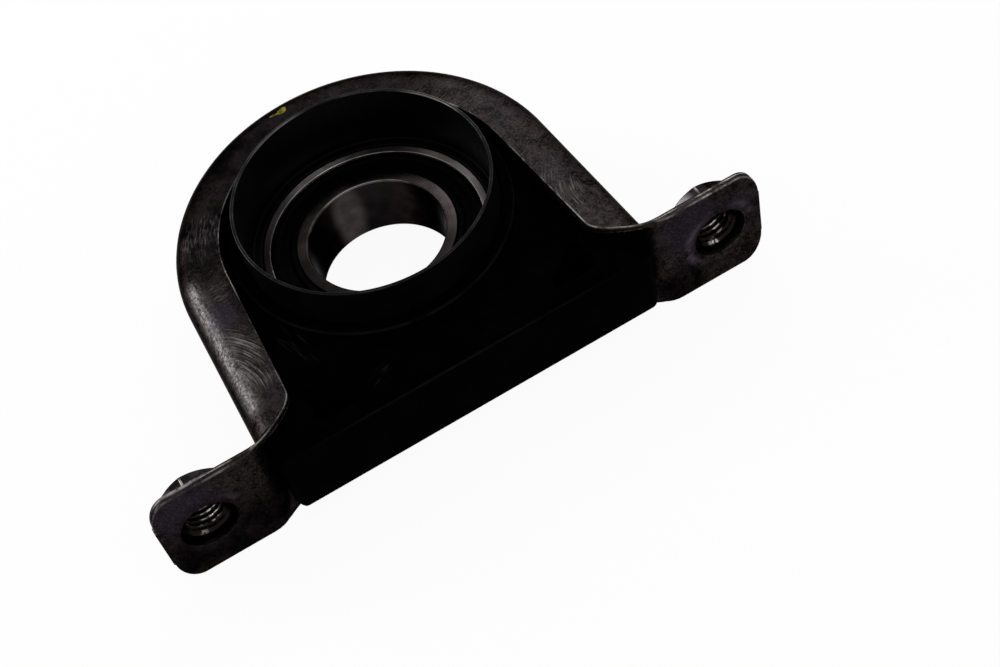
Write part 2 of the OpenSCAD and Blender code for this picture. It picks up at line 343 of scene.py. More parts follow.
def prism(
    name: str, points: Sequence[Point], floors: Sequence[tuple[float, float]]
) -> bpy.types.Object:
    """Extrude an outline upwards through a row of floors.

    Args:
        name: Name of the new object.
        points: The outline in the XY plane.
        floors: Height of each floor, and how much wider the outline is there.

    Returns:
        The new closed mesh object.
    """
    piece = outline_mesh(name, points, filled=True)
    middle = sum((Vector(point) for point in points), Vector((0, 0))) / len(points)
    first = floors[0]
    lay(piece, Matrix.Translation((0, 0, first[0])))
    begin_edit(piece)
    size = first[1]
    height = first[0]
    for floor, width in floors[1:]:
        bpy.ops.mesh.extrude_region_move(
            TRANSFORM_OT_translate={"value": (0, 0, floor - height)}
        )
        scale = width / size
        bpy.ops.transform.resize(
            value=(scale, scale, 1), center_override=(middle.x, middle.y, floor)
        )
        size = width
        height = floor
    end_edit()
    close_mesh(piece)
    return piece


def laid_grid(
    name: str, rows: int, columns: int, place: Callable[[int, int], Vector]
) -> tuple[bpy.types.Object, list[tuple[int, int]]]:
    """Lay the points of a grid along a surface.

    Args:
        name: Name of the new object.
        rows: Steps along the grid.
        columns: Steps across it.
        place: Gives the place of a point from its row and column.

    Returns:
        The new mesh object, and the row and column of each of its points.
    """
    clear_selection()
    bpy.ops.mesh.primitive_grid_add(x_subdivisions=rows, y_subdivisions=columns, size=1)
    piece = bpy.context.object
    piece.name = name
    index = [
        (round((vertex.co.x + 0.5) * rows), round((vertex.co.y + 0.5) * columns))
        for vertex in piece.data.vertices
    ]
    for vertex, (row, column) in zip(piece.data.vertices, index):
        vertex.co = place(row, column)
    return piece, index


def apply_modifier(piece: bpy.types.Object, kind: str, **settings: object) -> None:
    """Give a piece a modifier and apply it.

    Args:
        piece: The mesh object.
        kind: The modifier's type.
        settings: Values of the modifier's own properties.
    """
    make_active(piece)
    modifier = piece.modifiers.new(kind.lower(), kind)
    for key, value in settings.items():
        setattr(modifier, key, value)
    bpy.ops.object.modifier_apply(modifier=modifier.name)


def bevel(piece: bpy.types.Object, width: float, segments: int, angle: float, clamp: bool) -> None:
    """Round the sharp edges of a piece.

    Args:
        piece: The mesh object.
        width: Width of the rounding on each face.
        segments: Steps across the rounding.
        angle: Edges that turn by more than this are sharp.
        clamp: Whether roundings stop where they meet.
    """
    apply_modifier(
        piece,
        "BEVEL",
        width=width,
        segments=segments,
        limit_method="ANGLE",
        angle_limit=angle,
        use_clamp_overlap=clamp,
    )


def combine(piece: bpy.types.Object, tool: bpy.types.Object, how: str) -> None:
    """Cut a piece with a tool, or join the tool to it, and remove the tool.

    Args:
        piece: The mesh object that stays.
        tool: The closed mesh object that is used up.
        how: UNION, DIFFERENCE or INTERSECT.
    """
    apply_modifier(piece, "BOOLEAN", operation=how, solver="EXACT", object=tool)
    bpy.data.objects.remove(tool)


def soften(piece: bpy.types.Object) -> None:
    """Shade a piece smooth up to its sharp edges, and keep its flat faces flat."""
    make_active(piece)
    bpy.ops.object.shade_smooth_by_angle(angle=SMOOTH_ANGLE)
    apply_modifier(piece, "WEIGHTED_NORMAL", keep_sharp=True, weight=FLAT_WEIGHT)


def seat(
    piece: bpy.types.Object,
    node: str,
    body: str,
    slot: Slot,
    material: bpy.types.Material,
) -> None:
    """Let a finished piece stand for its solid, move with its body and wear its finish.

    Args:
        piece: The finished mesh object.
        node: The solid that it stands for.
        body: The body that it moves with.
        slot: The record's slot of its finish; not used.
        material: Its finish.
    """
    piece.name = node + "_form"
    piece.data.name = piece.name
    piece.data.materials.clear()
    piece.data.materials.append(material)
    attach(piece, body)
    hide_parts(node)
    piece.data.calc_loop_triangles()
    LOG.info("%s: %d triangles", piece.name, len(piece.data.loop_triangles))


# Finishes


@dataclass(frozen=True)
class Grain:
    """A noise pattern, with the range of it that is stretched to a finish's own levels."""

    scale: float
    detail: float = 4.0
    rough: float = 0.55
    swirl: float = 0.0
    low: float = 0.3
    high: float = 0.7
    start: float = 0.0
    end: float = 1.0

    @property
    def levels(self) -> tuple[float, float, float, float]:
        """The range that counts, and the levels at its two ends."""
        return self.low, self.high, self.start, self.end


@dataclass(frozen=True)
class Patch:
    """A soft patch of the surface, round or stretched along axes turned about Z."""

    centre: Place
    radius: float
    stretch: Place = (1.0, 1.0, 1.0)
    turn: float = 0.0
    strength: float = 1.0


@dataclass(frozen=True)
class Stroke:
    """A patch of long scratches that run in arcs about a centre."""

    patch: Patch
    centre: Point
    length: float
    depth: float
    width: float = 0.00045

    @property
    def reach(self) -> float:
        """Distance of the patch from the centre of the arcs."""
        return math.dist(self.patch.centre[:2], self.centre)


class Shader:
    """A material under construction, with short calls for the nodes that finishes share."""

    def __init__(self, name: str) -> None:
        """Start a material with one principled surface."""
        self.material = bpy.data.materials.new(name)
        self.material.use_nodes = True
        self.tree = self.material.node_tree
        self.tree.nodes.clear()
        output = self.node("ShaderNodeOutputMaterial")
        self.surface = self.node("ShaderNodeBsdfPrincipled")
        self.tree.links.new(self.surface.outputs[0], output.inputs["Surface"])
        self.place = self.node("ShaderNodeTexCoord").outputs["Object"]

    def node(self, kind: str, **settings: object) -> bpy.types.Node:
        """Add a node.

        Args:
            kind: The node's type.
            settings: Values of the node's own properties.

        Returns:
            The new node.
        """
        made = self.tree.nodes.new(kind)
        for key, value in settings.items():
            setattr(made, key, value)
        return made

    def feed(self, socket: bpy.types.NodeSocket, value: object) -> None:
        """Link another socket into this one, or set its own value."""
        if isinstance(value, bpy.types.NodeSocket):
            self.tree.links.new(value, socket)
        else:
            socket.default_value = value

    def fill(self, made: bpy.types.Node, *values: object, **named: object) -> bpy.types.NodeSocket:
        """Feed the inputs of a node.

        Args:
            made: The node.
            values: Values or sockets for its first inputs, in order.
            named: Values or sockets for inputs by their names.

        Returns:
            The node's first output.
        """
        for socket, value in zip(made.inputs, values):
            self.feed(socket, value)
        for name, value in named.items():
            self.feed(made.inputs[name], value)
        return made.outputs[0]

    def set(self, name: str, value: object) -> None:
        """Set or link an input of the surface; a colour may have three parts."""
        if isinstance(value, tuple) and len(value) == 3:
            value = (*value, 1.0)
        self.feed(self.surface.inputs[name], value)

    def sum(self, operation: str, a: object, b: object) -> bpy.types.NodeSocket:
        """A sum of two numbers, kept from 0 to 1.

        Args:
            operation: The Math node's operation.
            a: First number or socket.
            b: Second number or socket.

        Returns:
            The result's socket.
        """
        return self.fill(self.node("ShaderNodeMath", operation=operation, use_clamp=True), a, b)

    def times(self, a: object, b: object) -> bpy.types.NodeSocket:
        """The product of two numbers, kept from 0 to 1."""
        return self.sum("MULTIPLY", a, b)

    def most(self, a: object, b: object) -> bpy.types.NodeSocket:
        """The larger of two numbers, kept from 0 to 1."""
        return self.sum("MAXIMUM", a, b)

    def vector(self, operation: str, *values: object) -> bpy.types.NodeSocket:
        """A sum of vectors.

        Args:
            operation: The Vector Math node's operation.
            values: Vectors or sockets, in order.

        Returns:
            The result's socket.
        """
        made = self.node("ShaderNodeVectorMath", operation=operation)
        self.fill(made, *values)
        return made.outputs["Value" if operation in NUMBER_SUMS else "Vector"]

    def noise(self, grain: Grain, vector: object = None) -> bpy.types.NodeSocket:
        """A noise pattern as it is.

        Args:
            grain: The pattern's scale and form.
            vector: Coordinates, or the row frame's place if none.

        Returns:
            The socket of its strength, from 0 to 1.
        """
        return self.fill(
            self.node("ShaderNodeTexNoise"),
            Vector=self.place if vector is None else vector,
            Scale=grain.scale,
            Detail=grain.detail,
            Roughness=grain.rough,
            Distortion=grain.swirl,
        )

    def grain(self, grain: Grain, vector: object = None) -> bpy.types.NodeSocket:
        """A noise pattern, stretched to its levels."""
        return self.span(self.noise(grain, vector), *grain.levels)

    def span(
        self, value: object, low: float, high: float, start: float = 0.0, end: float = 1.0
    ) -> bpy.types.NodeSocket:
        """Stretch a number smoothly from one range to another.

        Args:
            value: The number's socket.
            low: Value that gives start.
            high: Value that gives end.
            start: Result at low.
            end: Result at high.

        Returns:
            The result's socket.
        """
        made = self.node("ShaderNodeMapRange", interpolation_type="SMOOTHSTEP")
        return self.fill(made, value, low, high, start, end)

    def grade(self, factor: object, a: float, b: float) -> bpy.types.NodeSocket:
        """A number that goes evenly from one value to another with a factor."""
        return self.fill(self.node("ShaderNodeMapRange"), factor, 0.0, 1.0, a, b)

    def blend(self, factor: object, a: object, b: object) -> bpy.types.NodeSocket:
        """Mix two colours.

        Args:
            factor: Share of the second colour.
            a: First colour or socket.
            b: Second colour or socket.

        Returns:
            The mixed colour's socket.
        """
        made = self.node("ShaderNodeMix", data_type="RGBA")
        self.feed(made.inputs[0], factor)
        for socket, value in ((made.inputs[6], a), (made.inputs[7], b)):
            self.feed(socket, (*value, 1.0) if isinstance(value, tuple) else value)
        return made.outputs[2]

    def near(self, patch: Patch, vector: object = None) -> bpy.types.NodeSocket:
        """A soft patch.

        Args:
            patch: Its place and size.
            vector: Coordinates, or the row frame's place if none.

        Returns:
            The socket of its strength, full in the middle.
        """
        size = tuple(patch.radius * share for share in patch.stretch)
        start = self.place if vector is None else vector
        away = self.vector("LENGTH", self.stretched(start, size, patch.turn, patch.centre))
        return self.span(away, PATCH_CORE, 1.0, patch.strength, 0.0)

    def patches(self, patches: Iterable[Patch], vector: object = None) -> bpy.types.NodeSocket | float:
        """The union of several soft patches.

        Args:
            patches: The patches.
            vector: Coordinates, or the row frame's place if none.

        Returns:
            The socket of their strength, or 0 if there are none.
        """
        total: bpy.types.NodeSocket | float = 0.0
        for patch in patches:
            total = self.most(total, self.near(patch, vector))
        return total

    def stretched(
        self, vector: object, size: Place, turn: float = 0.0, centre: Place = (0.0, 0.0, 0.0)
    ) -> bpy.types.NodeSocket:
        """Coordinates for a pattern that is stretched along turned axes.

        Args:
            vector: The coordinates' socket.
            size: Length of one feature along each turned axis.
            turn: Turn about Z, in radians.
            centre: Where the new coordinates start.

        Returns:
            The new coordinates' socket.
        """
        made = self.node("ShaderNodeMapping", vector_type="TEXTURE")
        return self.fill(made, Vector=vector, Location=centre, Rotation=(0.0, 0.0, turn), Scale=size)

    def arced(self, stroke: Stroke) -> bpy.types.NodeSocket:
        """Coordinates for a pattern that runs in arcs about an upright axis.

        Args:
            stroke: The arcs' centre, and the length and width of one scratch.

        Returns:
            The new coordinates' socket.
        """
        spoke = self.vector("SUBTRACT", self.place, (*stroke.centre, 0.0))
        away = self.vector("LENGTH", self.vector("MULTIPLY", spoke, ACROSS))
        turn = self.node("ShaderNodeMath", operation="ARCTAN2")
        angle = self.fill(turn, self.part(spoke, "Y"), self.part(spoke, "X"))
        polar = self.fill(self.node("ShaderNodeCombineXYZ"), angle, away)
        return self.stretched(polar, (stroke.length / stroke.reach, stroke.width, 1.0))

    def map(self, name: str) -> bpy.types.NodeSocket:
        """Coordinates of one of the piece's own UV maps."""
        return self.node("ShaderNodeUVMap", uv_map=name).outputs[0]

    def part(self, vector: object, axis: str) -> bpy.types.NodeSocket:
        """One part of a vector, X, Y or Z."""
        made = self.node("ShaderNodeSeparateXYZ")
        self.fill(made, vector)
        return made.outputs[axis]

    def spun(self) -> bpy.types.NodeSocket:
        """Radius about the shaft axis and height along it, as coordinates."""
        radius = self.vector("LENGTH", self.vector("MULTIPLY", self.place, ACROSS))
        return self.fill(self.node("ShaderNodeCombineXYZ"), radius, self.part(self.place, "Z"))

    def about(self, axis: Point) -> bpy.types.NodeSocket:
        """Distance from the nearer one of two axes along Y.

        Args:
            axis: X and Z of the right axis; the left one mirrors it.

        Returns:
            The distance's socket.
        """
        mirrored = self.vector("MULTIPLY", self.vector("ABSOLUTE", self.place), (1.0, 0.0, 0.0))
        level = self.vector("MULTIPLY_ADD", self.place, (0.0, 0.0, 1.0), mirrored)
        return self.vector("DISTANCE", level, (axis[0], 0.0, axis[1]))

    def bump(self, height: object, relief: Relief) -> None:
        """Raise the surface by a pattern.

        Args:
            height: The pattern's socket.
            relief: Height of the pattern in metres, and share of its full effect.
        """
        depth, strength = relief
        made = self.node("ShaderNodeBump")
        self.set("Normal", self.fill(made, Strength=strength, Distance=depth, Height=height))


@dataclass(frozen=True)
class StampedSteel:
    """Dark greasy sheet steel, mottled, with swirling scuffs and edges scraped to the metal; its
    darker patches are partly painted shade, and it has painted highlights and painted sheen.
    """

    dark: Colour = (0.0032, 0.0027, 0.0026)
    pale: Colour = (0.0210, 0.0170, 0.0166)
    violet: Colour = (0.0185, 0.0142, 0.0203)
    oil_and_shade: Colour = (0.0012, 0.0013, 0.0013)
    fleck: Colour = (0.048, 0.041, 0.040)
    # Colour of the scuffed band on the left corner, partly a painted highlight
    rubbed_and_sheen: Colour = (0.118, 0.109, 0.111)
    scratched: Colour = (0.125, 0.114, 0.118)
    bare_and_highlight: Colour = (0.29, 0.274, 0.268)
    pressed: Colour = (0.052, 0.044, 0.056)
    grazing: Colour = (0.38, 0.37, 0.37)
    paint: Colour = (0.300, 0.255, 0.006)
    thin_paint: Colour = (0.060, 0.052, 0.004)
    paint_shine: float = 0.08
    mottle: Grain = Grain(230.0, 6.0, 0.78, 0.6, low=0.37, high=0.63)
    clouds: Grain = Grain(34.0, 2.0, low=0.42, high=0.66, end=0.30)
    tint_and_sheen_share: float = 0.85
    # Lighter violet patches at listed places, partly painted sheen on the upper parts of the feet
    tints_and_sheen: tuple[Patch, ...] = (
        Patch((-0.0930, -0.0610, 0.0150), 0.015),
        Patch((0.0800, -0.0610, 0.0140), 0.015),
        Patch((0.0960, -0.0610, 0.0120), 0.008),
        Patch((-0.0560, -0.0100, 0.0240), 0.008),
    )
    flecks: Grain = Grain(1250.0, 2.0, 0.7, low=0.44, high=0.74, end=0.50)
    film: Grain = Grain(95.0, 4.0, 0.6, low=0.30, high=0.62, start=1.0, end=0.55)
    stain: Grain = Grain(52.0, 3.0, low=0.52, high=0.70, end=0.55)
    oil_and_shade_share: float = 0.90
    # Darker patches at listed places; those on the lower parts of the feet and on the round under the
    # left bend are painted shade
    oiled_and_shaded: tuple[Patch, ...] = (
        Patch((-0.0360, 0.0420, 0.0240), 0.066),
        Patch((-0.0860, -0.0610, -0.0090), 0.030),
        Patch((0.0740, -0.0610, -0.0100), 0.013),
        Patch((0.0280, 0.0490, 0.0240), 0.030, strength=0.65),
        Patch((-0.0480, -0.0080, 0.0240), 0.006, (1.0, 3.0, 1.0)),
        Patch((-0.0650, -0.0580, -0.0115), 0.009),
    )
    # Where the scuffed band on the left corner runs; it is partly a painted highlight
    rub_and_sheen_run: Point = (-0.151, -0.090)
    rub_and_sheen_drop: Point = (0.0150, 0.0262)
    rub_and_sheen_fade: float = 0.006
    streaks: Grain = Grain(1.0, 4.0, 0.6, 0.3, low=0.34, high=0.60, start=0.42)
    streak_size: Place = (0.010, 0.0012, 1.0)
    speckle: Grain = Grain(1050.0, 4.0, 0.75, low=0.36, high=0.64, start=0.10)
    bundles: Grain = Grain(190.0, 2.0, low=0.36, high=0.56, start=0.25)
    hairlines: Grain = Grain(1.0, 3.0, 0.6, 0.5, low=0.47, high=0.66)
    strokes: tuple[Stroke, ...] = (
        Stroke(
            Patch((-0.0560, -0.0290, 0.0240), 0.0065, (1.0, 2.8, 1.0)), (-0.0785, -0.0395), 0.010, 1.0
        ),
        Stroke(Patch((-0.0535, -0.0010, 0.0240), 0.0055), (-0.053, -0.100), 0.003, 0.55),
        Stroke(Patch((-0.0480, 0.0230, 0.0238), 0.0120), (0.0, 0.0), 0.004, 0.35),
        Stroke(
            Patch((0.0530, -0.0310, 0.0240), 0.0065, (1.0, 2.2, 1.0)), (0.0755, -0.0365), 0.012, 0.5
        ),
        Stroke(Patch((0.0480, 0.0230, 0.0240), 0.0160), (0.053, -0.017), 0.004, 0.18),
    )
    edge_start: float = 0.35
    line_start: float = 0.25
    chips_and_highlights: Grain = Grain(110.0, 6.0, 0.65, low=0.42, high=0.66, start=0.04)
    dulling: float = 0.22
    dulled: tuple[Patch, ...] = (
        Patch((-0.0520, -0.0250, 0.0240), 0.014, (1.0, 2.6, 1.0)),
        Patch((-0.0300, 0.0400, 0.0240), 0.040),
    )
    patchy: Grain = Grain(230.0, 4.0, 0.65, low=0.40, high=0.60, start=0.06, end=0.80)
    # Painted highlights: thin lines along the upper edges of the feet
    highlight_strips: tuple[Patch, ...] = (
        Patch((-0.0910, -0.0589, 0.0237), 0.0012, (9.0, 1.0, 1.0)),
        Patch((0.0900, -0.0608, 0.0239), 0.0004, (34.0, 1.0, 1.0)),
    )
    hole_axis: Point = (0.0895, 0.00375)
    washer: tuple[float, float, float] = (0.0098, 0.0116, 0.0142)
    broken: Grain = Grain(260.0, 4.0, 0.65, low=0.36, high=0.60, end=0.90)
    washers: tuple[Patch, ...] = (
        Patch((0.0790, -0.0610, 0.0050), 0.0140),
        Patch((0.0985, -0.0610, 0.0110), 0.0070, strength=0.7),
        Patch((-0.0800, -0.0610, 0.0110), 0.0060, strength=0.5),
    )
    ragged: Grain = Grain(700.0, 4.0, 0.7, 0.6)
    ragged_share: float = 0.62
    dab_edge: Point = (0.50, 0.60)
    dabs: tuple[Patch, ...] = (
        Patch((-0.0040, 0.0565, 0.0239), 0.0027, (1.1, 0.75, 1.0), math.radians(25)),
        Patch((-0.0074, 0.0563, 0.0238), 0.0017, (1.6, 0.5, 1.0), strength=0.8),
    )
    brushing: Grain = Grain(1.0, 3.0, 0.6, 0.6, low=0.42, high=0.58)
    brush_size: Place = (0.0024, 0.0006, 0.002)
    brush_turn: float = 0.5
    grit: Grain = Grain(1500.0, 3.0, 0.7, start=0.34, end=0.52)
    grit_height: float = 0.35
    waves: Grain = Grain(150.0, 4.0, 0.6)
    relief: Relief = (0.00014, 0.40)

    def ground(self, shader: Shader) -> bpy.types.NodeSocket:
        """The mottled dark colour of the untouched sheet, with lighter violet patches that are partly
        painted sheen and darker patches that are partly painted shade.

        Args:
            shader: The material under construction.

        Returns:
            The colour's socket.
        """
        colour = shader.blend(shader.grain(self.mottle), self.dark, self.pale)
        tint_and_sheen = shader.most(shader.grain(self.clouds), shader.patches(self.tints_and_sheen))
        colour = shader.blend(shader.times(tint_and_sheen, self.tint_and_sheen_share), colour, self.violet)
        colour = shader.blend(shader.grain(self.flecks), colour, self.fleck)
        # Darker patches, partly painted shade, and random stains
        oil_and_shade_mask = shader.times(shader.patches(self.oiled_and_shaded), shader.grain(self.film))
        oil_and_shade_mask = shader.most(oil_and_shade_mask, shader.grain(self.stain))
        return shader.blend(shader.times(oil_and_shade_mask, self.oil_and_shade_share), colour, self.oil_and_shade)

    def rub_and_sheen(self, shader: Shader) -> bpy.types.NodeSocket:
        """The scuffed band along the left rounded corner, which is partly a painted highlight.

        Args:
            shader: The material under construction.

        Returns:
            The socket of its strength.
        """
        band = shader.map("band")
        streaks = shader.grain(self.streaks, shader.stretched(band, self.streak_size))
        shown = shader.times(streaks, shader.grain(self.speckle))
        for axis, (low, high) in (("X", self.rub_and_sheen_run), ("Y", self.rub_and_sheen_drop)):
            along = shader.part(band, axis)
            shown = shader.times(shown, shader.span(along, low, low + self.rub_and_sheen_fade))
            shown = shader.times(shown, shader.span(along, high - self.rub_and_sheen_fade, high, 1.0, 0.0))
        return shown

    def scratches(self, shader: Shader) -> bpy.types.NodeSocket:
        """Bundles of curved scratches on the flanges.

        Args:
            shader: The material under construction.

        Returns:
            The socket of their strength.
        """
        total: bpy.types.NodeSocket | float = 0.0
        for stroke in self.strokes:
            lines = shader.grain(self.hairlines, shader.arced(stroke))
            spot = shader.times(shader.near(stroke.patch), stroke.depth)
            total = shader.most(total, shader.times(lines, spot))
        return shader.times(total, shader.grain(self.bundles))

    def edge_wear_and_highlights(self, shader: Shader) -> bpy.types.NodeSocket:
        """Steel showing along the sheet's cut edges where the dark film is chipped, and painted
        highlights along the upper edges of the feet.

        Args:
            shader: The material under construction.

        Returns:
            The socket of its strength.
        """
        marks = shader.map("marks")
        edge = shader.span(shader.part(marks, "X"), self.edge_start, 1.0)
        line_mark = shader.span(shader.part(marks, "Y"), self.line_start, 1.0)
        dull = shader.span(shader.patches(self.dulled), 0.0, 1.0, 1.0, self.dulling)
        wear_and_highlight = shader.times(shader.most(edge, line_mark), dull)
        wear_and_highlight = shader.times(wear_and_highlight, shader.grain(self.chips_and_highlights))
        highlight_strips = shader.times(shader.patches(self.highlight_strips), shader.grain(self.patchy))
        return shader.most(wear_and_highlight, highlight_strips)

    def washer_mark(self, shader: Shader) -> bpy.types.NodeSocket:
        """The faint broken ring that a bolt's washer pressed round each foot hole.

        Args:
            shader: The material under construction.

        Returns:
            The socket of its strength.
        """
        inner, middle, outer = self.washer
        radius = shader.about(self.hole_axis)
        rise = shader.span(radius, inner, middle)
        ring = shader.times(rise, shader.span(radius, middle, outer, 1.0, 0.0))
        broken = shader.times(shader.grain(self.broken), shader.patches(self.washers))
        return shader.times(ring, broken)

    def dab(self, shader: Shader) -> bpy.types.NodeSocket:
        """A ragged dab of yellow marking paint with a thinner tail.

        Args:
            shader: The material under construction.

        Returns:
            The socket of its strength.
        """
        ragged = shader.times(shader.noise(self.ragged), self.ragged_share)
        spots = shader.times(shader.patches(self.dabs), 1 - self.ragged_share)
        return shader.span(shader.sum("ADD", spots, ragged), *self.dab_edge)

    def material(self) -> bpy.types.Material:
        """Build the finish.

        Returns:
            The new material.
        """
        shader = Shader("stamped_steel")
        scratches = self.scratches(shader)
        dab = self.dab(shader)
        colour = shader.blend(self.washer_mark(shader), self.ground(shader), self.pressed)
        # The scuffed band on the left corner, partly a painted highlight
        colour = shader.blend(self.rub_and_sheen(shader), colour, self.rubbed_and_sheen)
        colour = shader.blend(scratches, colour, self.scratched)
        # Steel along the cut edges, with painted highlights along the upper edges of the feet
        colour = shader.blend(self.edge_wear_and_highlights(shader), colour, self.bare_and_highlight)
        along = shader.stretched(shader.place, self.brush_size, self.brush_turn)
        paint = shader.blend(shader.grain(self.brushing, along), self.thin_paint, self.paint)
        shader.set("Base Color", shader.blend(dab, colour, paint))
        shader.set("Metallic", shader.grade(dab, 1.0, 0.0))
        shader.set("Specular IOR Level", self.paint_shine)
        shader.set("Specular Tint", self.grazing)
        grit = shader.noise(self.grit)
        shader.set("Roughness", shader.span(grit, *self.grit.levels))
        relief = shader.sum("ADD", shader.times(grit, self.grit_height), shader.noise(self.waves))
        shader.bump(shader.sum("SUBTRACT", relief, scratches), self.relief)
        return shader.material


@dataclass(frozen=True)
class PlatedSteel:
    """Dark plated steel of a weld nut, with corners scraped to the metal, a painted reflection on the
    right nut's left face, and painted glints on its thread.
    """

    axis: Point
    corner: float
    thread: float
    crest: float
    dark: Colour = (0.0040, 0.0036, 0.0039)
    pale: Colour = (0.0130, 0.0115, 0.0120)
    bare_and_highlight: Colour = (0.15, 0.14, 0.138)
    rubbed_and_sheen: Colour = (0.150, 0.140, 0.140)
    bored: Colour = (0.0080, 0.0064, 0.0056)
    glint: Colour = (0.42, 0.40, 0.39)
    grazing: Colour = (0.30, 0.30, 0.30)
    mottle: Grain = Grain(220.0, 5.0, 0.6, low=0.38, high=0.64)
    # A painted reflection: a lighter patch on the left face of the right nut
    rubs_and_sheen: tuple[Patch, ...] = (Patch((0.0812, -0.0515, 0.0120), 0.0070),)
    thread_fade: float = 0.0002
    crest_fade: float = 0.00018
    spots: Grain = Grain(210.0, 1.0, low=0.51, high=0.62, end=0.2)
    glints: tuple[Patch, ...] = (
        Patch((-0.0881, -0.0530, -0.0021), 0.0016, (0.7, 2.8, 1.5), strength=0.9),
        Patch((0.0920, -0.0530, -0.0016), 0.0024, (0.7, 2.0, 1.5)),
    )
    broken: Grain = Grain(700.0, 2.0, low=0.40, high=0.60)
    mouths: tuple[Patch, ...] = (
        Patch((0.0886, -0.0582, -0.0022), 0.0024),
        Patch((-0.0921, -0.0584, -0.0018), 0.0020, strength=0.3),
    )
    corner_wear: Point = (0.00024, 0.00012)
    chips_and_highlights: Grain = Grain(600.0, 2.0, low=0.36, high=0.56, start=0.2)
    gloss: Grain = Grain(1200.0, start=0.18, end=0.32)
    skin: Grain = Grain(900.0, 2.0)
    relief: Relief = (0.00004, 0.25)

    def material(self) -> bpy.types.Material:
        """Build the finish.

        Returns:
            The new material.
        """
        shader = Shader("plated_steel")
        colour = shader.blend(shader.grain(self.mottle), self.dark, self.pale)
        # Painted reflection on the right nut
        colour = shader.blend(shader.patches(self.rubs_and_sheen), colour, self.rubbed_and_sheen)
        radius = shader.about(self.axis)
        inside = shader.span(radius, self.thread, self.thread + self.thread_fade, 1.0, 0.0)
        colour = shader.blend(inside, colour, self.bored)
        crest = shader.span(radius, self.crest, self.crest + self.crest_fade, 1.0, 0.0)
        spots = shader.most(shader.grain(self.spots), shader.patches(self.glints))
        mouth = shader.times(shader.grain(self.broken), shader.patches(self.mouths))
        colour = shader.blend(shader.most(shader.times(crest, spots), mouth), colour, self.glint)
        low, high = (self.corner - inset for inset in self.corner_wear)
        wear_and_highlight = shader.times(shader.span(radius, low, high), shader.grain(self.chips_and_highlights))
        shader.set("Base Color", shader.blend(wear_and_highlight, colour, self.bare_and_highlight))
        shader.set("Metallic", 1.0)
        shader.set("Specular Tint", self.grazing)
        shader.set("Roughness", shader.grain(self.gloss))
        shader.bump(shader.noise(self.skin), self.relief)
        return shader.material


@dataclass(frozen=True)
class MouldedRubber:
    """Black moulded rubber with a faint bloom, a few scuffs and painted highlights along two edges."""

    dark: Colour = (0.00025, 0.00025, 0.00028)
    pale: Colour = (0.0008, 0.0008, 0.00085)
    rubbed_and_sheen: Colour = (0.0080, 0.0080, 0.0080)
    wear_and_highlight: Colour = (0.0058, 0.0058, 0.0058)
    bloom: Grain = Grain(90.0, 6.0, 0.65, low=0.42, high=0.70)
    # Painted highlights along the front edge of the base and the edge of the collar
    base_edge: Patch = Patch((0.0, -0.0639, 0.0160), 0.0007, (95.0, 1.0, 1.0))
    collar_edge: Patch = Patch((0.0457, 0.0203, 0.0), 0.0007)
    broken: Grain = Grain(170.0, 3.0, low=0.30, high=0.60, start=0.35)
    rubs_and_sheen: tuple[Patch, ...] = (
        Patch((-0.0411, -0.0289, 0.0180), 0.0055, (2.2, 1.0, 1.0), math.radians(-78)),
        Patch((-0.0242, -0.0547, 0.0180), 0.0035, (1.8, 1.0, 1.0), math.radians(19)),
    )
    scuffs: Grain = Grain(1.0, 3.0, 0.6, 0.4, low=0.50, high=0.66)
    scuff_size: Place = (0.007, 0.0010, 0.005)
    shine: float = 0.0012
    gloss: Grain = Grain(500.0, start=0.40, end=0.58)
    skin: Grain = Grain(1300.0, 3.0)
    relief: Relief = (0.00005, 0.25)

    def material(self) -> bpy.types.Material:
        """Build the finish.

        Returns:
            The new material.
        """
        shader = Shader("moulded_rubber")
        colour = shader.blend(shader.grain(self.bloom), self.dark, self.pale)
        # Painted highlight lines on two edges
        edges = shader.most(shader.near(self.base_edge), shader.near(self.collar_edge, shader.spun()))
        colour = shader.blend(shader.times(edges, shader.grain(self.broken)), colour, self.wear_and_highlight)
        # Scuffs on the rubber face
        for rub_and_sheen in self.rubs_and_sheen:
            along = shader.stretched(shader.place, self.scuff_size, rub_and_sheen.turn)
            scuffs = shader.times(shader.grain(self.scuffs, along), shader.near(rub_and_sheen))
            colour = shader.blend(scuffs, colour, self.rubbed_and_sheen)
        shader.set("Base Color", colour)
        shader.set("Roughness", shader.grain(self.gloss))
        shader.set("Specular IOR Level", self.shine)
        shader.bump(shader.noise(self.skin), self.relief)
        return shader.material


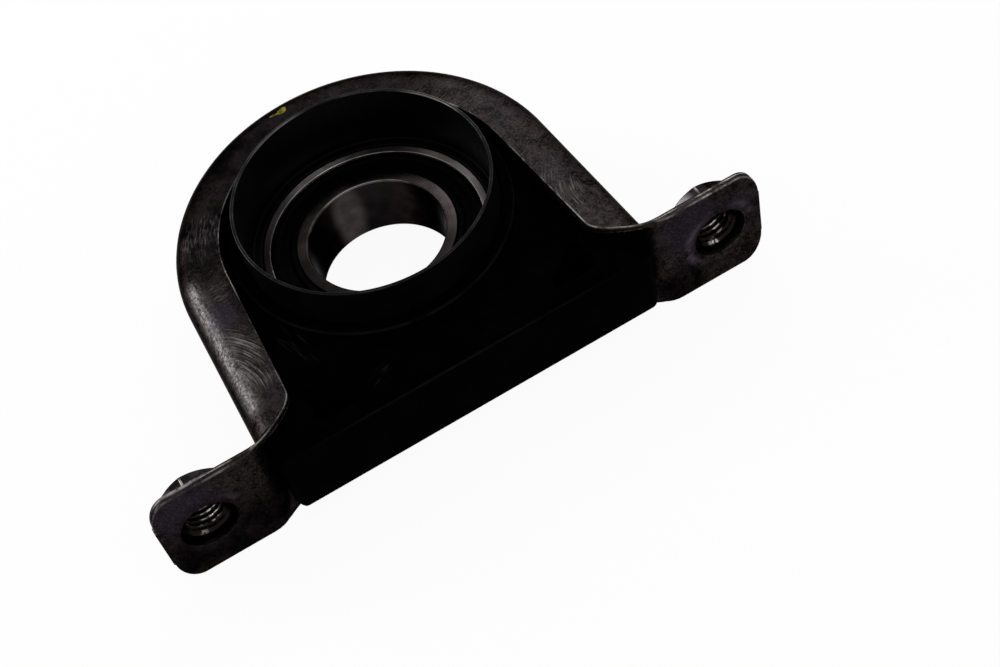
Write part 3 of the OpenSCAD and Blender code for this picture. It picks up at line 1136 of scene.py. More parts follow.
@dataclass(frozen=True)
class CoatedSteel:
    """Black coated pressed steel, scraped to the metal along its rim, with painted highlights on the
    rim.
    """

    wear_and_highlight: tuple[Patch, ...]
    rim_highlights: tuple[Patch, ...]
    dark: Colour = (0.0006, 0.0007, 0.0007)
    pale: Colour = (0.0016, 0.0018, 0.0017)
    bare_and_highlight: Colour = (0.150, 0.144, 0.140)
    clouds: Grain = Grain(60.0, 5.0, 0.6, low=0.38, high=0.66)
    chips_and_highlights: Grain = Grain(70.0, 6.0, 0.7, low=0.40, high=0.68, start=0.05, end=0.30)
    shine: float = 0.027
    gloss: Grain = Grain(800.0, 3.0, start=0.28, end=0.42)
    skin: Grain = Grain(900.0, 3.0)
    relief: Relief = (0.00004, 0.25)

    def material(self) -> bpy.types.Material:
        """Build the finish.

        Returns:
            The new material.
        """
        shader = Shader("coated_steel")
        colour = shader.blend(shader.grain(self.clouds), self.dark, self.pale)
        # Chipped coat on the rim, plus painted highlights on the rim at listed places
        chips_and_highlights = shader.sum("ADD", shader.grain(self.chips_and_highlights), shader.patches(self.rim_highlights))
        wear_and_highlight = shader.times(shader.patches(self.wear_and_highlight, shader.spun()), chips_and_highlights)
        shader.set("Base Color", shader.blend(wear_and_highlight, colour, self.bare_and_highlight))
        shader.set("Metallic", wear_and_highlight)
        shader.set("Specular IOR Level", self.shine)
        shader.set("Roughness", shader.grain(self.gloss))
        shader.bump(shader.noise(self.skin), self.relief)
        return shader.material


@dataclass(frozen=True)
class GroundSteel:
    """Ground bearing steel with a brown film and fine turning lines; its darker patches are partly
    painted shade, and its lighter patches are painted highlights.
    """

    name: str
    wear_and_highlight: tuple[Patch, ...]
    film: Colour
    clean: Colour
    oil_and_shade: Colour
    highlight_colour: Colour
    rough: float
    brushing: float
    # Darker patches, partly painted shade, and lighter patches of painted highlights
    oiled_and_shaded: tuple[Patch, ...] = ()
    painted_highlights: tuple[Patch, ...] = ()
    bare_and_highlight: Colour = (0.24, 0.225, 0.22)
    grazing: Colour = (0.75, 0.75, 0.75)
    clouds: Grain = Grain(70.0, 5.0, 0.6, low=0.36, high=0.66)
    shines: Grain = Grain(130.0, 4.0, 0.6, low=0.34, high=0.62, start=0.50)
    chips_and_highlights: Grain = Grain(60.0, 4.0, 0.6, low=0.40, high=0.64, start=0.10)
    lines: Grain = Grain(4200.0, 2.0, 0.6, start=0.8, end=1.2)
    relief: Relief = (0.00001, 0.30)

    def material(self) -> bpy.types.Material:
        """Build the finish.

        Returns:
            The new material.
        """
        shader = Shader(self.name)
        colour = shader.blend(shader.grain(self.clouds), self.film, self.clean)
        # Darker patches, partly painted shade, then painted highlights where the faces and the bore
        # show reflections
        colour = shader.blend(shader.patches(self.oiled_and_shaded), colour, self.oil_and_shade)
        shine = shader.times(shader.patches(self.painted_highlights), shader.grain(self.shines))
        colour = shader.blend(shine, colour, self.highlight_colour)
        spun = shader.spun()
        wear_and_highlight = shader.times(shader.patches(self.wear_and_highlight, spun), shader.grain(self.chips_and_highlights))
        shader.set("Base Color", shader.blend(wear_and_highlight, colour, self.bare_and_highlight))
        shader.set("Metallic", 1.0)
        shader.set("Specular Tint", self.grazing)
        lines = shader.noise(self.lines, spun)
        shader.set("Roughness", shader.times(shader.span(lines, *self.lines.levels), self.rough))
        shader.set("Anisotropic", self.brushing)
        tangent = shader.node("ShaderNodeTangent", direction_type="RADIAL", axis="Z")
        shader.set("Tangent", tangent.outputs[0])
        shader.bump(lines, self.relief)
        return shader.material


@dataclass(frozen=True)
class SealRubber:
    """Smooth black sealing rubber with a film of grease."""

    dark: Colour = (0.0003, 0.0003, 0.00035)
    greasy: Colour = (0.0010, 0.0009, 0.0008)
    grease: Grain = Grain(240.0, 4.0, 0.6, low=0.45, high=0.62)
    gloss: Point = (0.46, 0.30)
    shine: float = 0.008
    skin: Grain = Grain(1500.0, 2.0)
    relief: Relief = (0.00003, 0.2)

    def material(self) -> bpy.types.Material:
        """Build the finish.

        Returns:
            The new material.
        """
        shader = Shader("seal_rubber")
        grease = shader.grain(self.grease)
        shader.set("Base Color", shader.blend(grease, self.dark, self.greasy))
        shader.set("Roughness", shader.grade(grease, *self.gloss))
        shader.set("Specular IOR Level", self.shine)
        shader.bump(shader.noise(self.skin), self.relief)
        return shader.material


@dataclass(frozen=True)
class InnerSteel:
    """Bright steel of the balls and their cage, with faint rolling marks."""

    name: str
    base: Colour
    stained: Colour
    rough: float
    stain: Grain = Grain(300.0, 4.0, 0.6, low=0.45, high=0.70)
    skin: Grain = Grain(2500.0, 2.0)
    relief: Relief = (0.00001, 0.2)

    def material(self) -> bpy.types.Material:
        """Build the finish.

        Returns:
            The new material.
        """
        shader = Shader(self.name)
        stain = shader.grain(self.stain)
        shader.set("Base Color", shader.blend(stain, self.base, self.stained))
        shader.set("Metallic", 1.0)
        shader.set("Roughness", shader.grade(stain, self.rough, 2 * self.rough))
        shader.bump(shader.noise(self.skin), self.relief)
        return shader.material


# Sub-assemblies


@dataclass(frozen=True)
class Station:
    """One section across the bracket's web: its place and how the sheet is formed there."""

    point: Vector
    inward: Vector
    corner: float
    reach: float
    thick: float
    half: float
    inset: float = 0.0


@dataclass
class Bracket:
    """The stamped channel bracket: an arch, two leaning arms and a bolt-down foot on each."""

    sheet: float = 0.0027
    corner: float = 0.009
    flange: float = 0.0165
    flange_loss: float = 0.0015
    lean: float = ARM_LEAN
    bend: float = 0.0035
    under_bend: float = 0.0095
    end_round_x: float = 0.007
    end_round_z: float = 0.011
    foot_edge: float = 0.0006
    cut_edge: float = 0.00035
    hole_radius: float = 0.009
    hole_edge: float = 0.0004
    corner_fade: float = 2.2
    corner_share: float = 1.85
    toe_point: Point = (0.0589, -0.0551)
    toe_slope: float = math.radians(24.4)
    toe_round: float = 0.010
    toe_span: float = 0.012
    wear_band: float = 0.00025
    line_depth: float = 0.0010
    line_width: float = 0.0005
    line_fade: float = 0.002
    foot_film: float = 0.35
    rear_wear: float = 0.12
    bend_crowd: float = 1.3
    edge_steps: int = 3
    arch: float = field(init=False)
    foot_top: float = field(init=False)
    foot_end: float = field(init=False)
    half_width: float = field(init=False)
    middle: float = field(init=False)

    def __post_init__(self) -> None:
        """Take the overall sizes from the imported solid."""
        low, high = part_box("bracket")
        self.arch = high.y
        self.foot_top = low.y + self.sheet
        self.foot_end = high.x
        self.half_width = (high.z - low.z) / 2
        self.middle = (high.z + low.z) / 2

    @property
    def out(self) -> Vector:
        """Direction out of the right arm's outer face."""
        return Vector((math.cos(self.lean), math.sin(self.lean)))

    @property
    def down(self) -> Vector:
        """Direction down the right arm's outer face."""
        return Vector((math.sin(self.lean), -math.cos(self.lean)))

    @property
    def arm(self) -> float:
        """Length of the straight arm, from the arch to the bend."""
        level = self.foot_top + self.bend
        return ((self.arch + self.bend) * math.sin(self.lean) - level) / math.cos(self.lean)

    @property
    def bend_centre(self) -> Vector:
        """Centre of the bend between the right arm and its foot."""
        return self.arch * self.out + self.arm * self.down + self.bend * self.out

    def half_section(self, station: Station) -> list[SheetPoint]:
        """The front half of the sheet's section at a station.

        Args:
            station: The section's place and form.

        Returns:
            Depth, height, edge wear and worn line of each point, from the middle of the outer
            face to the middle of the inner one.
        """
        half = station.half
        corner = station.corner
        thick = station.thick
        inner = max(corner - self.sheet, 0.0)
        spare = station.reach - thick
        outer_start = (0.0, half - corner)
        inner_start = (thick, half - self.sheet - inner)
        outer_length = corner_length(corner, station.reach)
        inner_length = corner_length(inner, spare)
        edge = self.cut_edge
        inner_edge = min(edge, inner_length / 2)
        tip, tip_way = corner_path(outer_start, corner, outer_length)
        heel, heel_way = corner_path(inner_start, inner, inner_length)
        up = Vector((0, 1))
        on_foot = min(max(1 - spare / self.line_fade, 0.0), 1.0)
        shown = line((0.0, 0.0), outer_start, steps=5)
        plain = outer_length - edge - self.wear_band
        outer_steps = 16
        shown += [
            tuple(corner_path(outer_start, corner, plain * k / outer_steps)[0])
            for k in range(outer_steps + 1)
        ]
        outer_edge = [
            tuple(tip - edge * along * tip_way - edge * down * up)
            for along, down in quarter_round(self.edge_steps)
        ]
        middle = [tuple((tip + heel) / 2)]
        back_edge = [
            tuple(heel + inner_edge * rise * up - inner_edge * along * heel_way)
            for rise, along in quarter_round(self.edge_steps)
        ]
        plain = inner_length - inner_edge
        inner_steps = 12
        hidden = [
            tuple(corner_path(inner_start, inner, plain * (1 - k / inner_steps))[0])
            for k in range(1, inner_steps)
        ]
        hidden += [*line(inner_start, (thick, 0.0), steps=4), (thick, 0.0)]
        made: list[SheetPoint] = []
        for points, wear in (
            (shown, 0.0),
            (outer_edge, 1 - self.foot_film * on_foot),
            (middle, 0.0),
            (back_edge, 1 - on_foot),
            (hidden, 0.0),
        ):
            for depth, height in points:
                worn_line = on_foot * max(0.0, 1 - abs(depth - self.line_depth) / self.line_width)
                if station.inset:
                    depth = min(max(depth, station.inset), thick - station.inset)
                    height = min(height, half - station.inset)
                made.append((depth, height, wear, worn_line))
        return made

    def thickness(self, point: Vector, inward: Vector) -> float:
        """Thickness of the sheet, which is stretched thinner over the wide round under the bend.

        Args:
            point: Place on the web's outer face.
            inward: Direction through the sheet.

        Returns:
            The thickness there.
        """
        level = self.foot_top - self.sheet + self.under_bend
        side = self.arch - self.sheet + self.under_bend - level * math.sin(self.lean)
        away = point - Vector((side / math.cos(self.lean), level))
        above = away.dot(self.down) < 0
        if above or away.x > 0:
            return self.sheet
        ahead = inward.dot(away)
        gone = ahead**2 - away.length_squared + self.under_bend**2
        return min(math.sqrt(max(gone, 0.0)) - ahead, self.sheet)

    def flange_reach(self, point: Vector, inward: Vector, along: float, thick: float) -> float:
        """Reach of the flange at a point of the web, down to its slanting toe above the foot.

        Args:
            point: Place on the web's outer face.
            inward: Direction in which the flange reaches.
            along: Distance along the web past the start of the bend.
            thick: Thickness of the web there.

        Returns:
            The reach from the web's outer face.
        """
        straight = self.flange - self.flange_loss * (1 + along / self.arm)
        below = Vector((-math.sin(self.toe_slope), -math.cos(self.toe_slope)))
        toe = below.dot(Vector(self.toe_point) - point) / below.dot(inward)
        near_tip = max(1 - abs(straight - toe) / self.toe_round, 0.0)
        reach = min(straight, toe) - near_tip**2 * self.toe_round / 4
        return max(reach, thick)

    def formed(self, point: Vector, inward: Vector, along: float, corner: float) -> Station:
        """A section whose flange and thickness follow from its place.

        Args:
            point: Place on the web's outer face.
            inward: Direction in which the flange reaches.
            along: Distance along the web past the start of the bend.
            corner: Rounding between web and flange, where the flange has room for it.

        Returns:
            The section.
        """
        thick = self.thickness(point, inward)
        reach = self.flange_reach(point, inward, along, thick)
        corner = min(corner, reach * self.corner_share)
        return Station(point, inward, corner, reach, thick, self.half_width)

    def arch_stations(self) -> list[Station]:
        """Sections of the right half of the arch, from its top down.

        Returns:
            The sections in order.
        """
        made: list[Station] = []
        steps = 44
        for k in range(steps + 1):
            angle = RIGHT_ANGLE - (RIGHT_ANGLE - self.lean) * k / steps
            out = Vector((math.cos(angle), math.sin(angle)))
            made.append(
                Station(self.arch * out, -out, self.corner, self.flange, self.sheet, self.half_width)
            )
        return made

    def arm_stations(self) -> list[Station]:
        """Sections of the straight right arm, closer together above its toe.

        Returns:
            The sections in order, without the one where the arch ends.
        """
        tail = self.toe_span
        arm_steps = 10
        toe_steps = 24
        lengths = [(self.arm - tail) * k / arm_steps for k in range(1, arm_steps + 1)]
        lengths += [self.arm - tail * (1 - k / toe_steps) for k in range(1, toe_steps + 1)]
        top = self.arch * self.out
        return [
            self.formed(top + length * self.down, -self.out, length - self.arm, self.corner)
            for length in lengths
        ]

    def bend_stations(self) -> list[Station]:
        """Sections of the bend from the right arm to its foot, where the corner runs out.

        Returns:
            The sections in order, without the one where the arm ends.
        """
        made: list[Station] = []
        sweep = RIGHT_ANGLE - self.lean
        steps = 24
        for k in range(1, steps + 1):
            share = (k / steps) ** self.bend_crowd
            angle = math.pi + self.lean + share * sweep
            inward = Vector((math.cos(angle), math.sin(angle)))
            point = self.bend_centre + self.bend * inward
            faded = (self.corner - self.foot_edge) * (1 - share) ** self.corner_fade
            along = share * sweep * self.bend
            made.append(self.formed(point, inward, along, self.foot_edge + faded))
        return made

    def foot_stations(self) -> list[Station]:
        """Sections of the right foot, with its rounded end.

        Returns:
            The sections in order, without the one where the bend ends.
        """
        inward = Vector((0, -1))
        half = self.half_width
        start = self.bend_centre.x
        end = self.foot_end - self.cut_edge
        made: list[Station] = []

        def add(x: float, half: float, inset: float = 0.0) -> None:
            """Add one section of the flat foot."""
            point = Vector((x, self.foot_top))
            thick = self.thickness(point, inward)
            made.append(Station(point, inward, self.foot_edge, thick, thick, half, inset))

        steps = 16
        for k in range(1, steps):
            add(start + k / steps * (end - self.end_round_x - start), half)
        for along, across in quarter_round(steps=12):
            add(end - self.end_round_x * along, half - self.end_round_z * across)
        for angle in quarter(self.edge_steps)[1:]:
            inset = self.cut_edge * (1 - math.cos(angle))
            add(end + self.cut_edge * math.sin(angle), half - self.end_round_z, inset)
        return made

    def stations(self) -> list[Station]:
        """Sections of the right half, from the top of the arch to the foot's end.

        Returns:
            The sections in order.
        """
        upper = self.arch_stations() + self.arm_stations()
        return upper + self.bend_stations() + self.foot_stations()

    def sheet_mesh(self) -> bpy.types.Object:
        """Lay a grid along the bent web as the closed surface of the sheet.

        Returns:
            The new mesh object, with maps of its run and its wear.
        """
        right = self.stations()
        runs = distances([station.point for station in right])
        rows = [(1, station, run) for station, run in zip(right, runs)]
        rows = [(-1, station, run) for _, station, run in reversed(rows[1:])] + rows
        rings: list[list[SheetPoint]] = []
        for _, station, _ in rows:
            front = self.half_section(station)
            rear = [
                (depth, -height, wear * self.rear_wear, mark * self.rear_wear)
                for depth, height, wear, mark in front[-2:0:-1]
            ]
            rings.append(front + rear + front[:1])

        def place(row: int, column: int) -> Vector:
            """Place of one point of the sheet."""
            side, station, _ = rows[row]
            depth, height, _, _ = rings[row][column]
            flat = station.point + depth * station.inward
            return Vector((side * flat.x, flat.y, self.middle + height))

        piece, index = laid_grid("bracket", len(rows) - 1, len(rings[0]) - 1, place)
        drops = [distances([point[:2] for point in ring]) for ring in rings]
        mesh = piece.data
        mesh.uv_layers[0].name = "band"
        mesh.uv_layers.new(name="marks")
        band = mesh.uv_layers["band"].data
        marks = mesh.uv_layers["marks"].data
        for loop in mesh.loops:
            row, column = index[loop.vertex_index]
            side, _, run = rows[row]
            band[loop.index].uv = (side * run, drops[row][column])
            marks[loop.index].uv = rings[row][column][2:]
        close_mesh(piece)
        return piece

    def hole_tool(self, side: Side) -> bpy.types.Object:
        """A cutter for one foot's hole, with flared mouths.

        Args:
            side: Which foot.

        Returns:
            The new closed mesh object.
        """
        low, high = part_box(side.nut)
        radius = self.hole_radius
        edge = self.hole_edge
        thick = self.sheet
        mouth = radius + edge + CUT_PAST
        flare = quarter_round(self.edge_steps)
        profile = [(0.0, -CUT_PAST), (mouth, -CUT_PAST)]
        profile += [(radius + edge * out, edge * up) for out, up in flare]
        profile += [(radius + edge * out, thick - edge * down) for down, out in flare]
        profile += [(mouth, thick + CUT_PAST), (0.0, thick + CUT_PAST)]
        tool = turned("hole_tool", profile, steps=72)
        place = Vector(((low.x + high.x) / 2, self.foot_top - thick, self.middle))
        return lay(tool, Matrix.Translation(place) @ Matrix.Rotation(-RIGHT_ANGLE, 4, "X"))

    def build(self, finish: StampedSteel) -> None:
        """Model the bracket and dress it.

        Args:
            finish: Its surface finish.
        """
        piece = self.sheet_mesh()
        for side in Side:
            combine(piece, self.hole_tool(side), "DIFFERENCE")
        make_active(piece)
        bpy.ops.object.shade_smooth_by_angle(angle=SMOOTH_ANGLE)
        seat(piece, "bracket", "housing", Slot.BRACKET, finish.material())


@dataclass
class WeldNut:
    """A hexagon nut welded to the arch side of a foot, with its thread."""

    side: Side
    flats: float = 0.022
    chamfer: float = 0.0013
    minor: float = 0.006
    thread_depth: float = 0.00105
    pitch: float = 0.002
    crest_share: float = 0.78
    flank_share: float = 0.62
    shoulder_out: float = 0.6
    shoulder_drop: float = 1.45
    turn: float = math.radians(24)
    soft_edge: float = 0.0003
    sharp: float = math.radians(25)

    def thread_tool(self, height: float) -> bpy.types.Object:
        """A tap: a round bar whose side is cut as a helical thread.

        Args:
            height: Height of the nut.

        Returns:
            The new closed mesh object, standing on the XY plane.
        """
        turns = 72
        rings = 78

        def place(row: int, column: int) -> Vector:
            """Place of one point of the tap's side."""
            angle = FULL_TURN * row / turns
            level = (height + 2 * CUT_PAST) * column / rings - CUT_PAST
            radius = self.thread_radius(angle, level, height)
            return Vector((radius * math.cos(angle), radius * math.sin(angle), level))

        tool, _ = laid_grid("thread_tool", turns, rings, place)
        close_mesh(tool)
        return tool

    def thread_radius(self, angle: float, level: float, height: float) -> float:
        """Radius of the tapped hole.

        Args:
            angle: Angle about the nut's axis.
            level: Height above the nut's foot.
            height: Height of the nut.

        Returns:
            The radius there.
        """
        phase = (level / self.pitch - angle / FULL_TURN) % 1.0
        flank = 2 * abs(phase - 0.5)
        share = min(max((self.crest_share - flank) / self.flank_share, 0.0), 1.0)
        mouth = self.chamfer - min(level, height - level)
        return self.minor + max(self.thread_depth * share, mouth, 0.0)

    def build(self) -> None:
        """Model the nut and dress it."""
        low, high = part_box(self.side.nut)
        height = high.y - low.y
        corner_radius = self.flats / 2 / math.cos(math.pi / 6)
        clear_selection()
        bpy.ops.mesh.primitive_cylinder_add(vertices=6, radius=corner_radius, depth=height)
        piece = bpy.context.object
        lay(piece, Matrix.Translation((0, 0, height / 2)))
        lay(piece, Matrix.Rotation(RIGHT_ANGLE + self.turn, 4, "Z"))
        top_radius = self.flats / 2 - self.chamfer / 2
        shoulder = [
            (0.0, -height),
            (2 * corner_radius, -height),
            (2 * corner_radius, height - self.chamfer - corner_radius),
            (
                corner_radius + self.chamfer * self.shoulder_out,
                height - self.chamfer * self.shoulder_drop,
            ),
            (top_radius, height),
            (top_radius, 2 * height),
            (0.0, 2 * height),
        ]
        combine(piece, turned("shoulder_tool", shoulder, steps=96), "INTERSECT")
        bevel(piece, self.soft_edge, segments=2, angle=self.sharp, clamp=True)
        combine(piece, self.thread_tool(height), "DIFFERENCE")
        place = Vector(((low.x + high.x) / 2, low.y, (low.z + high.z) / 2))
        lay(piece, Matrix.Translation(place) @ Matrix.Rotation(-RIGHT_ANGLE, 4, "X"))
        soften(piece)
        finish = PlatedSteel(
            (abs(place.x), place.z), corner_radius, self.minor + self.thread_depth, self.minor
        )
        seat(piece, self.side.nut, "housing", Slot.NUT, finish.material())


@dataclass
class Cushion:
    """The moulded rubber cushion: a block in the channel, a collar and a broad base."""

    gap: float = 0.0003
    lean: float = ARM_LEAN
    face_drop: float = 0.003
    base_round: float = 0.0025
    end_round: float = 0.007
    collar_radius: float = 0.04585
    collar_round: float = 0.0013
    root_round: float = 0.0016
    rim_inset: float = 0.006
    rim_width: float = 0.006
    rim_drop: float = 0.038
    rim_round: float = 0.0009
    bore_past: float = 0.02
    pocket_x: float = 0.0475
    pocket_length: float = 0.0165
    pocket_height: float = 0.014
    pocket_floor: float = 0.0055
    pocket_depth: float = 0.015
    pocket_round: float = 0.0015
    mouth_round: float = 0.0008
    mouth_steps: int = 4
    sharp: float = math.radians(40)
    top: float = field(init=False)
    base: float = field(init=False)
    back: float = field(init=False)
    front: float = field(init=False)
    back_face: float = field(init=False)
    front_face: float = field(init=False)

    def __post_init__(self) -> None:
        """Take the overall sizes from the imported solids."""
        low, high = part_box("rubber_cushion")
        self.top = high.y
        self.base = low.y
        self.back = low.z
        self.front = high.z
        self.back_face = low.z + self.face_drop
        self.front_face = high.z - self.face_drop

    def side_x(self, y: float) -> float:
        """Half width of the block at a height along Y."""
        return (self.top - y * math.sin(self.lean)) / math.cos(self.lean)

    def arc(self, inset: float, steps: int) -> list[Point]:
        """The round top of the block, from its right side to its left.

        Args:
            inset: Distance in from the block's outline.
            steps: Steps along the arc.

        Returns:
            The points of the arc.
        """
        radius = self.top - inset
        sweep = math.pi - 2 * self.lean
        return [
            (
                radius * math.cos(self.lean + sweep * k / steps),
                radius * math.sin(self.lean + sweep * k / steps),
            )
            for k in range(steps + 1)
        ]

    def block(self) -> bpy.types.Object:
        """The block, with all its edges rounded.

        Returns:
            The new closed mesh object.
        """
        end = self.side_x(self.base)
        points = [(-end, self.base), (end, self.base), *self.arc(0.0, steps=72)]
        piece = prism("cushion_block", points, [(self.back_face, 1.0), (self.front_face, 1.0)])
        bevel(piece, self.base_round, segments=6, angle=self.sharp, clamp=False)
        combine(piece, self.end_tool(), "INTERSECT")
        return piece

    def end_tool(self) -> bpy.types.Object:
        """A tall bar whose round corners shape the ends of the base.

        Returns:
            The new closed mesh object.
        """
        end = self.side_x(self.base) + FACE_SHIFT
        front = self.front_face + FACE_SHIFT
        back = self.back_face - FACE_SHIFT
        corners = [
            (x, -z, self.end_round)
            for x, z in ((end, front), (end, back), (-end, back), (-end, front))
        ]
        floors = [(self.base - self.end_round, 1.0), (self.top + self.end_round, 1.0)]
        bar = prism("end_tool", rounded(corners, steps=10), floors)
        return lay(bar, Matrix.Rotation(-RIGHT_ANGLE, 4, "X"))

    def rim(self) -> bpy.types.Object:
        """The rim that fills the channel between the bracket's flanges.

        Returns:
            The new closed mesh object.
        """
        outer = self.rim_inset
        inner = outer + self.rim_width
        foot = -self.rim_drop
        slope = 1 / math.cos(self.lean)
        wide = self.side_x(foot) - outer * slope
        narrow = self.side_x(foot) - inner * slope
        points = [(wide, foot), *self.arc(outer, steps=64), (-wide, foot)]
        points += [(-narrow, foot), *reversed(self.arc(inner, steps=64)), (narrow, foot)]
        piece = prism("cushion_rim", points, [(self.back, 1.0), (self.front, 1.0)])
        bevel(piece, self.rim_round, segments=3, angle=self.sharp, clamp=False)
        return piece

    def collar(self) -> bpy.types.Object:
        """The collar round the dust shield, with its root fillets.

        Returns:
            The new closed mesh object.
        """
        radius = self.collar_radius
        root = self.root_round
        foot = radius + 2 * root
        back_root = self.back_face + FACE_SHIFT
        front_root = self.front_face - FACE_SHIFT
        corners = [
            (0.0, self.back, 0.0),
            (radius, self.back, self.collar_round),
            (radius, back_root, root),
            (foot, back_root, 0.0),
            (foot, front_root, 0.0),
            (radius, front_root, root),
            (radius, self.front, self.collar_round),
            (0.0, self.front, 0.0),
        ]
        return turned("cushion_collar", rounded(corners, steps=7))

    def bore_tool(self) -> bpy.types.Object:
        """A cutter for the stepped bore that holds the retainer.

        Returns:
            The new closed mesh object.
        """
        _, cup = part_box("bearing_retainer")
        _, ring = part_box("outer_ring")
        wide = cup.x + self.gap
        tight = ring.x + CUP_WALL + self.gap
        step = ring.z + CUP_SHOULDER - CUP_WALL - self.gap
        soft = self.mouth_round
        flare = quarter_round(self.mouth_steps)
        below = self.back - self.bore_past
        above = self.front + self.bore_past
        profile = [(0.0, below), (tight + soft, below)]
        profile += [(tight + soft * out, self.back + soft * up) for out, up in flare]
        profile += [(tight, step), (wide, step)]
        profile += [(wide + soft * out, self.front - soft * down) for down, out in flare]
        profile += [(wide + soft, above), (0.0, above)]
        return turned("bore_tool", profile)

    def pocket_tool(self, side: Side) -> bpy.types.Object:
        """A cutter for one corner pocket, flared at its mouth.

        Args:
            side: Which corner.

        Returns:
            The new closed mesh object.
        """
        sign = side.value
        low = self.base + self.pocket_floor
        corners = [
            (sign * (self.pocket_x - self.pocket_length), low, self.pocket_round),
            (sign * self.pocket_x, low, self.pocket_round),
            (sign * self.pocket_x, low + self.pocket_height, self.pocket_round),
        ]
        soft = self.mouth_round
        flare = 2 * soft / self.pocket_height
        floors = [(self.front_face - self.pocket_depth, 1.0)]
        floors += [
            (self.front_face - soft * down, 1 + flare * out)
            for down, out in quarter_round(self.mouth_steps)
        ]
        floors.append((self.front_face + soft, 1 + flare))
        return prism("pocket_tool", rounded(corners, steps=5), floors)

    def build(self, finish: MouldedRubber) -> None:
        """Model the cushion and dress it.

        Args:
            finish: Its surface finish.
        """
        piece = self.block()
        combine(piece, self.rim(), "UNION")
        combine(piece, self.collar(), "UNION")
        combine(piece, self.bore_tool(), "DIFFERENCE")
        for side in Side:
            combine(piece, self.pocket_tool(side), "DIFFERENCE")
        soften(piece)
        seat(piece, "rubber_cushion", "housing", Slot.CUSHION, finish.material())


@dataclass
class Retainer:
    """The pressed cup that holds the bearing and runs on as the dust shield."""

    wall: float = CUP_WALL
    lip: float = 0.0022
    lip_round: float = 0.0003
    bend: float = 0.0005
    brim_share: float = 0.42
    seat_round: float = 0.0004
    heel_round: float = 0.0002
    inner_wear: float = 0.00044
    outer_wear: float = 0.00036

    def build(self) -> None:
        """Model the retainer and dress it."""
        low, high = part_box("bearing_retainer")
        _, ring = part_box("outer_ring")
        outside = high.x
        inside = outside - self.wall
        seat_radius = ring.x + PRESS_GAP
        cup = seat_radius + self.wall
        shoulder = ring.z + CUP_SHOULDER
        under = shoulder - self.wall
        lip = ring.x - self.lip
        brim = self.brim_share * self.wall
        broad = self.bend + self.wall
        rim = high.z
        corners = [
            (lip, low.z, self.lip_round),
            (cup, low.z, broad),
            (cup, under, self.bend),
            (outside, under, broad),
            (outside, rim, brim),
            (inside, rim, brim),
            (inside, shoulder, self.bend),
            (seat_radius, shoulder, self.seat_round),
            (seat_radius, -ring.z, self.heel_round),
            (lip, -ring.z, self.lip_round),
        ]
        piece = turned("retainer", rounded(corners, steps=5), RING_STEPS)
        soften(piece)
        wear_and_highlight = (
            Patch((inside + brim / 3, rim, 0.0), self.inner_wear),
            Patch((outside - brim / 4, rim, 0.0), self.outer_wear),
        )
        # Painted highlights on the rim
        rim_highlights = (
            Patch((0.0360, 0.0190, rim), 0.014, strength=0.70),
            Patch((-0.0120, 0.0390, rim), 0.015, strength=0.40),
        )
        finish = CoatedSteel(wear_and_highlight, rim_highlights)
        seat(piece, "bearing_retainer", "housing", Slot.RETAINER, finish.material())


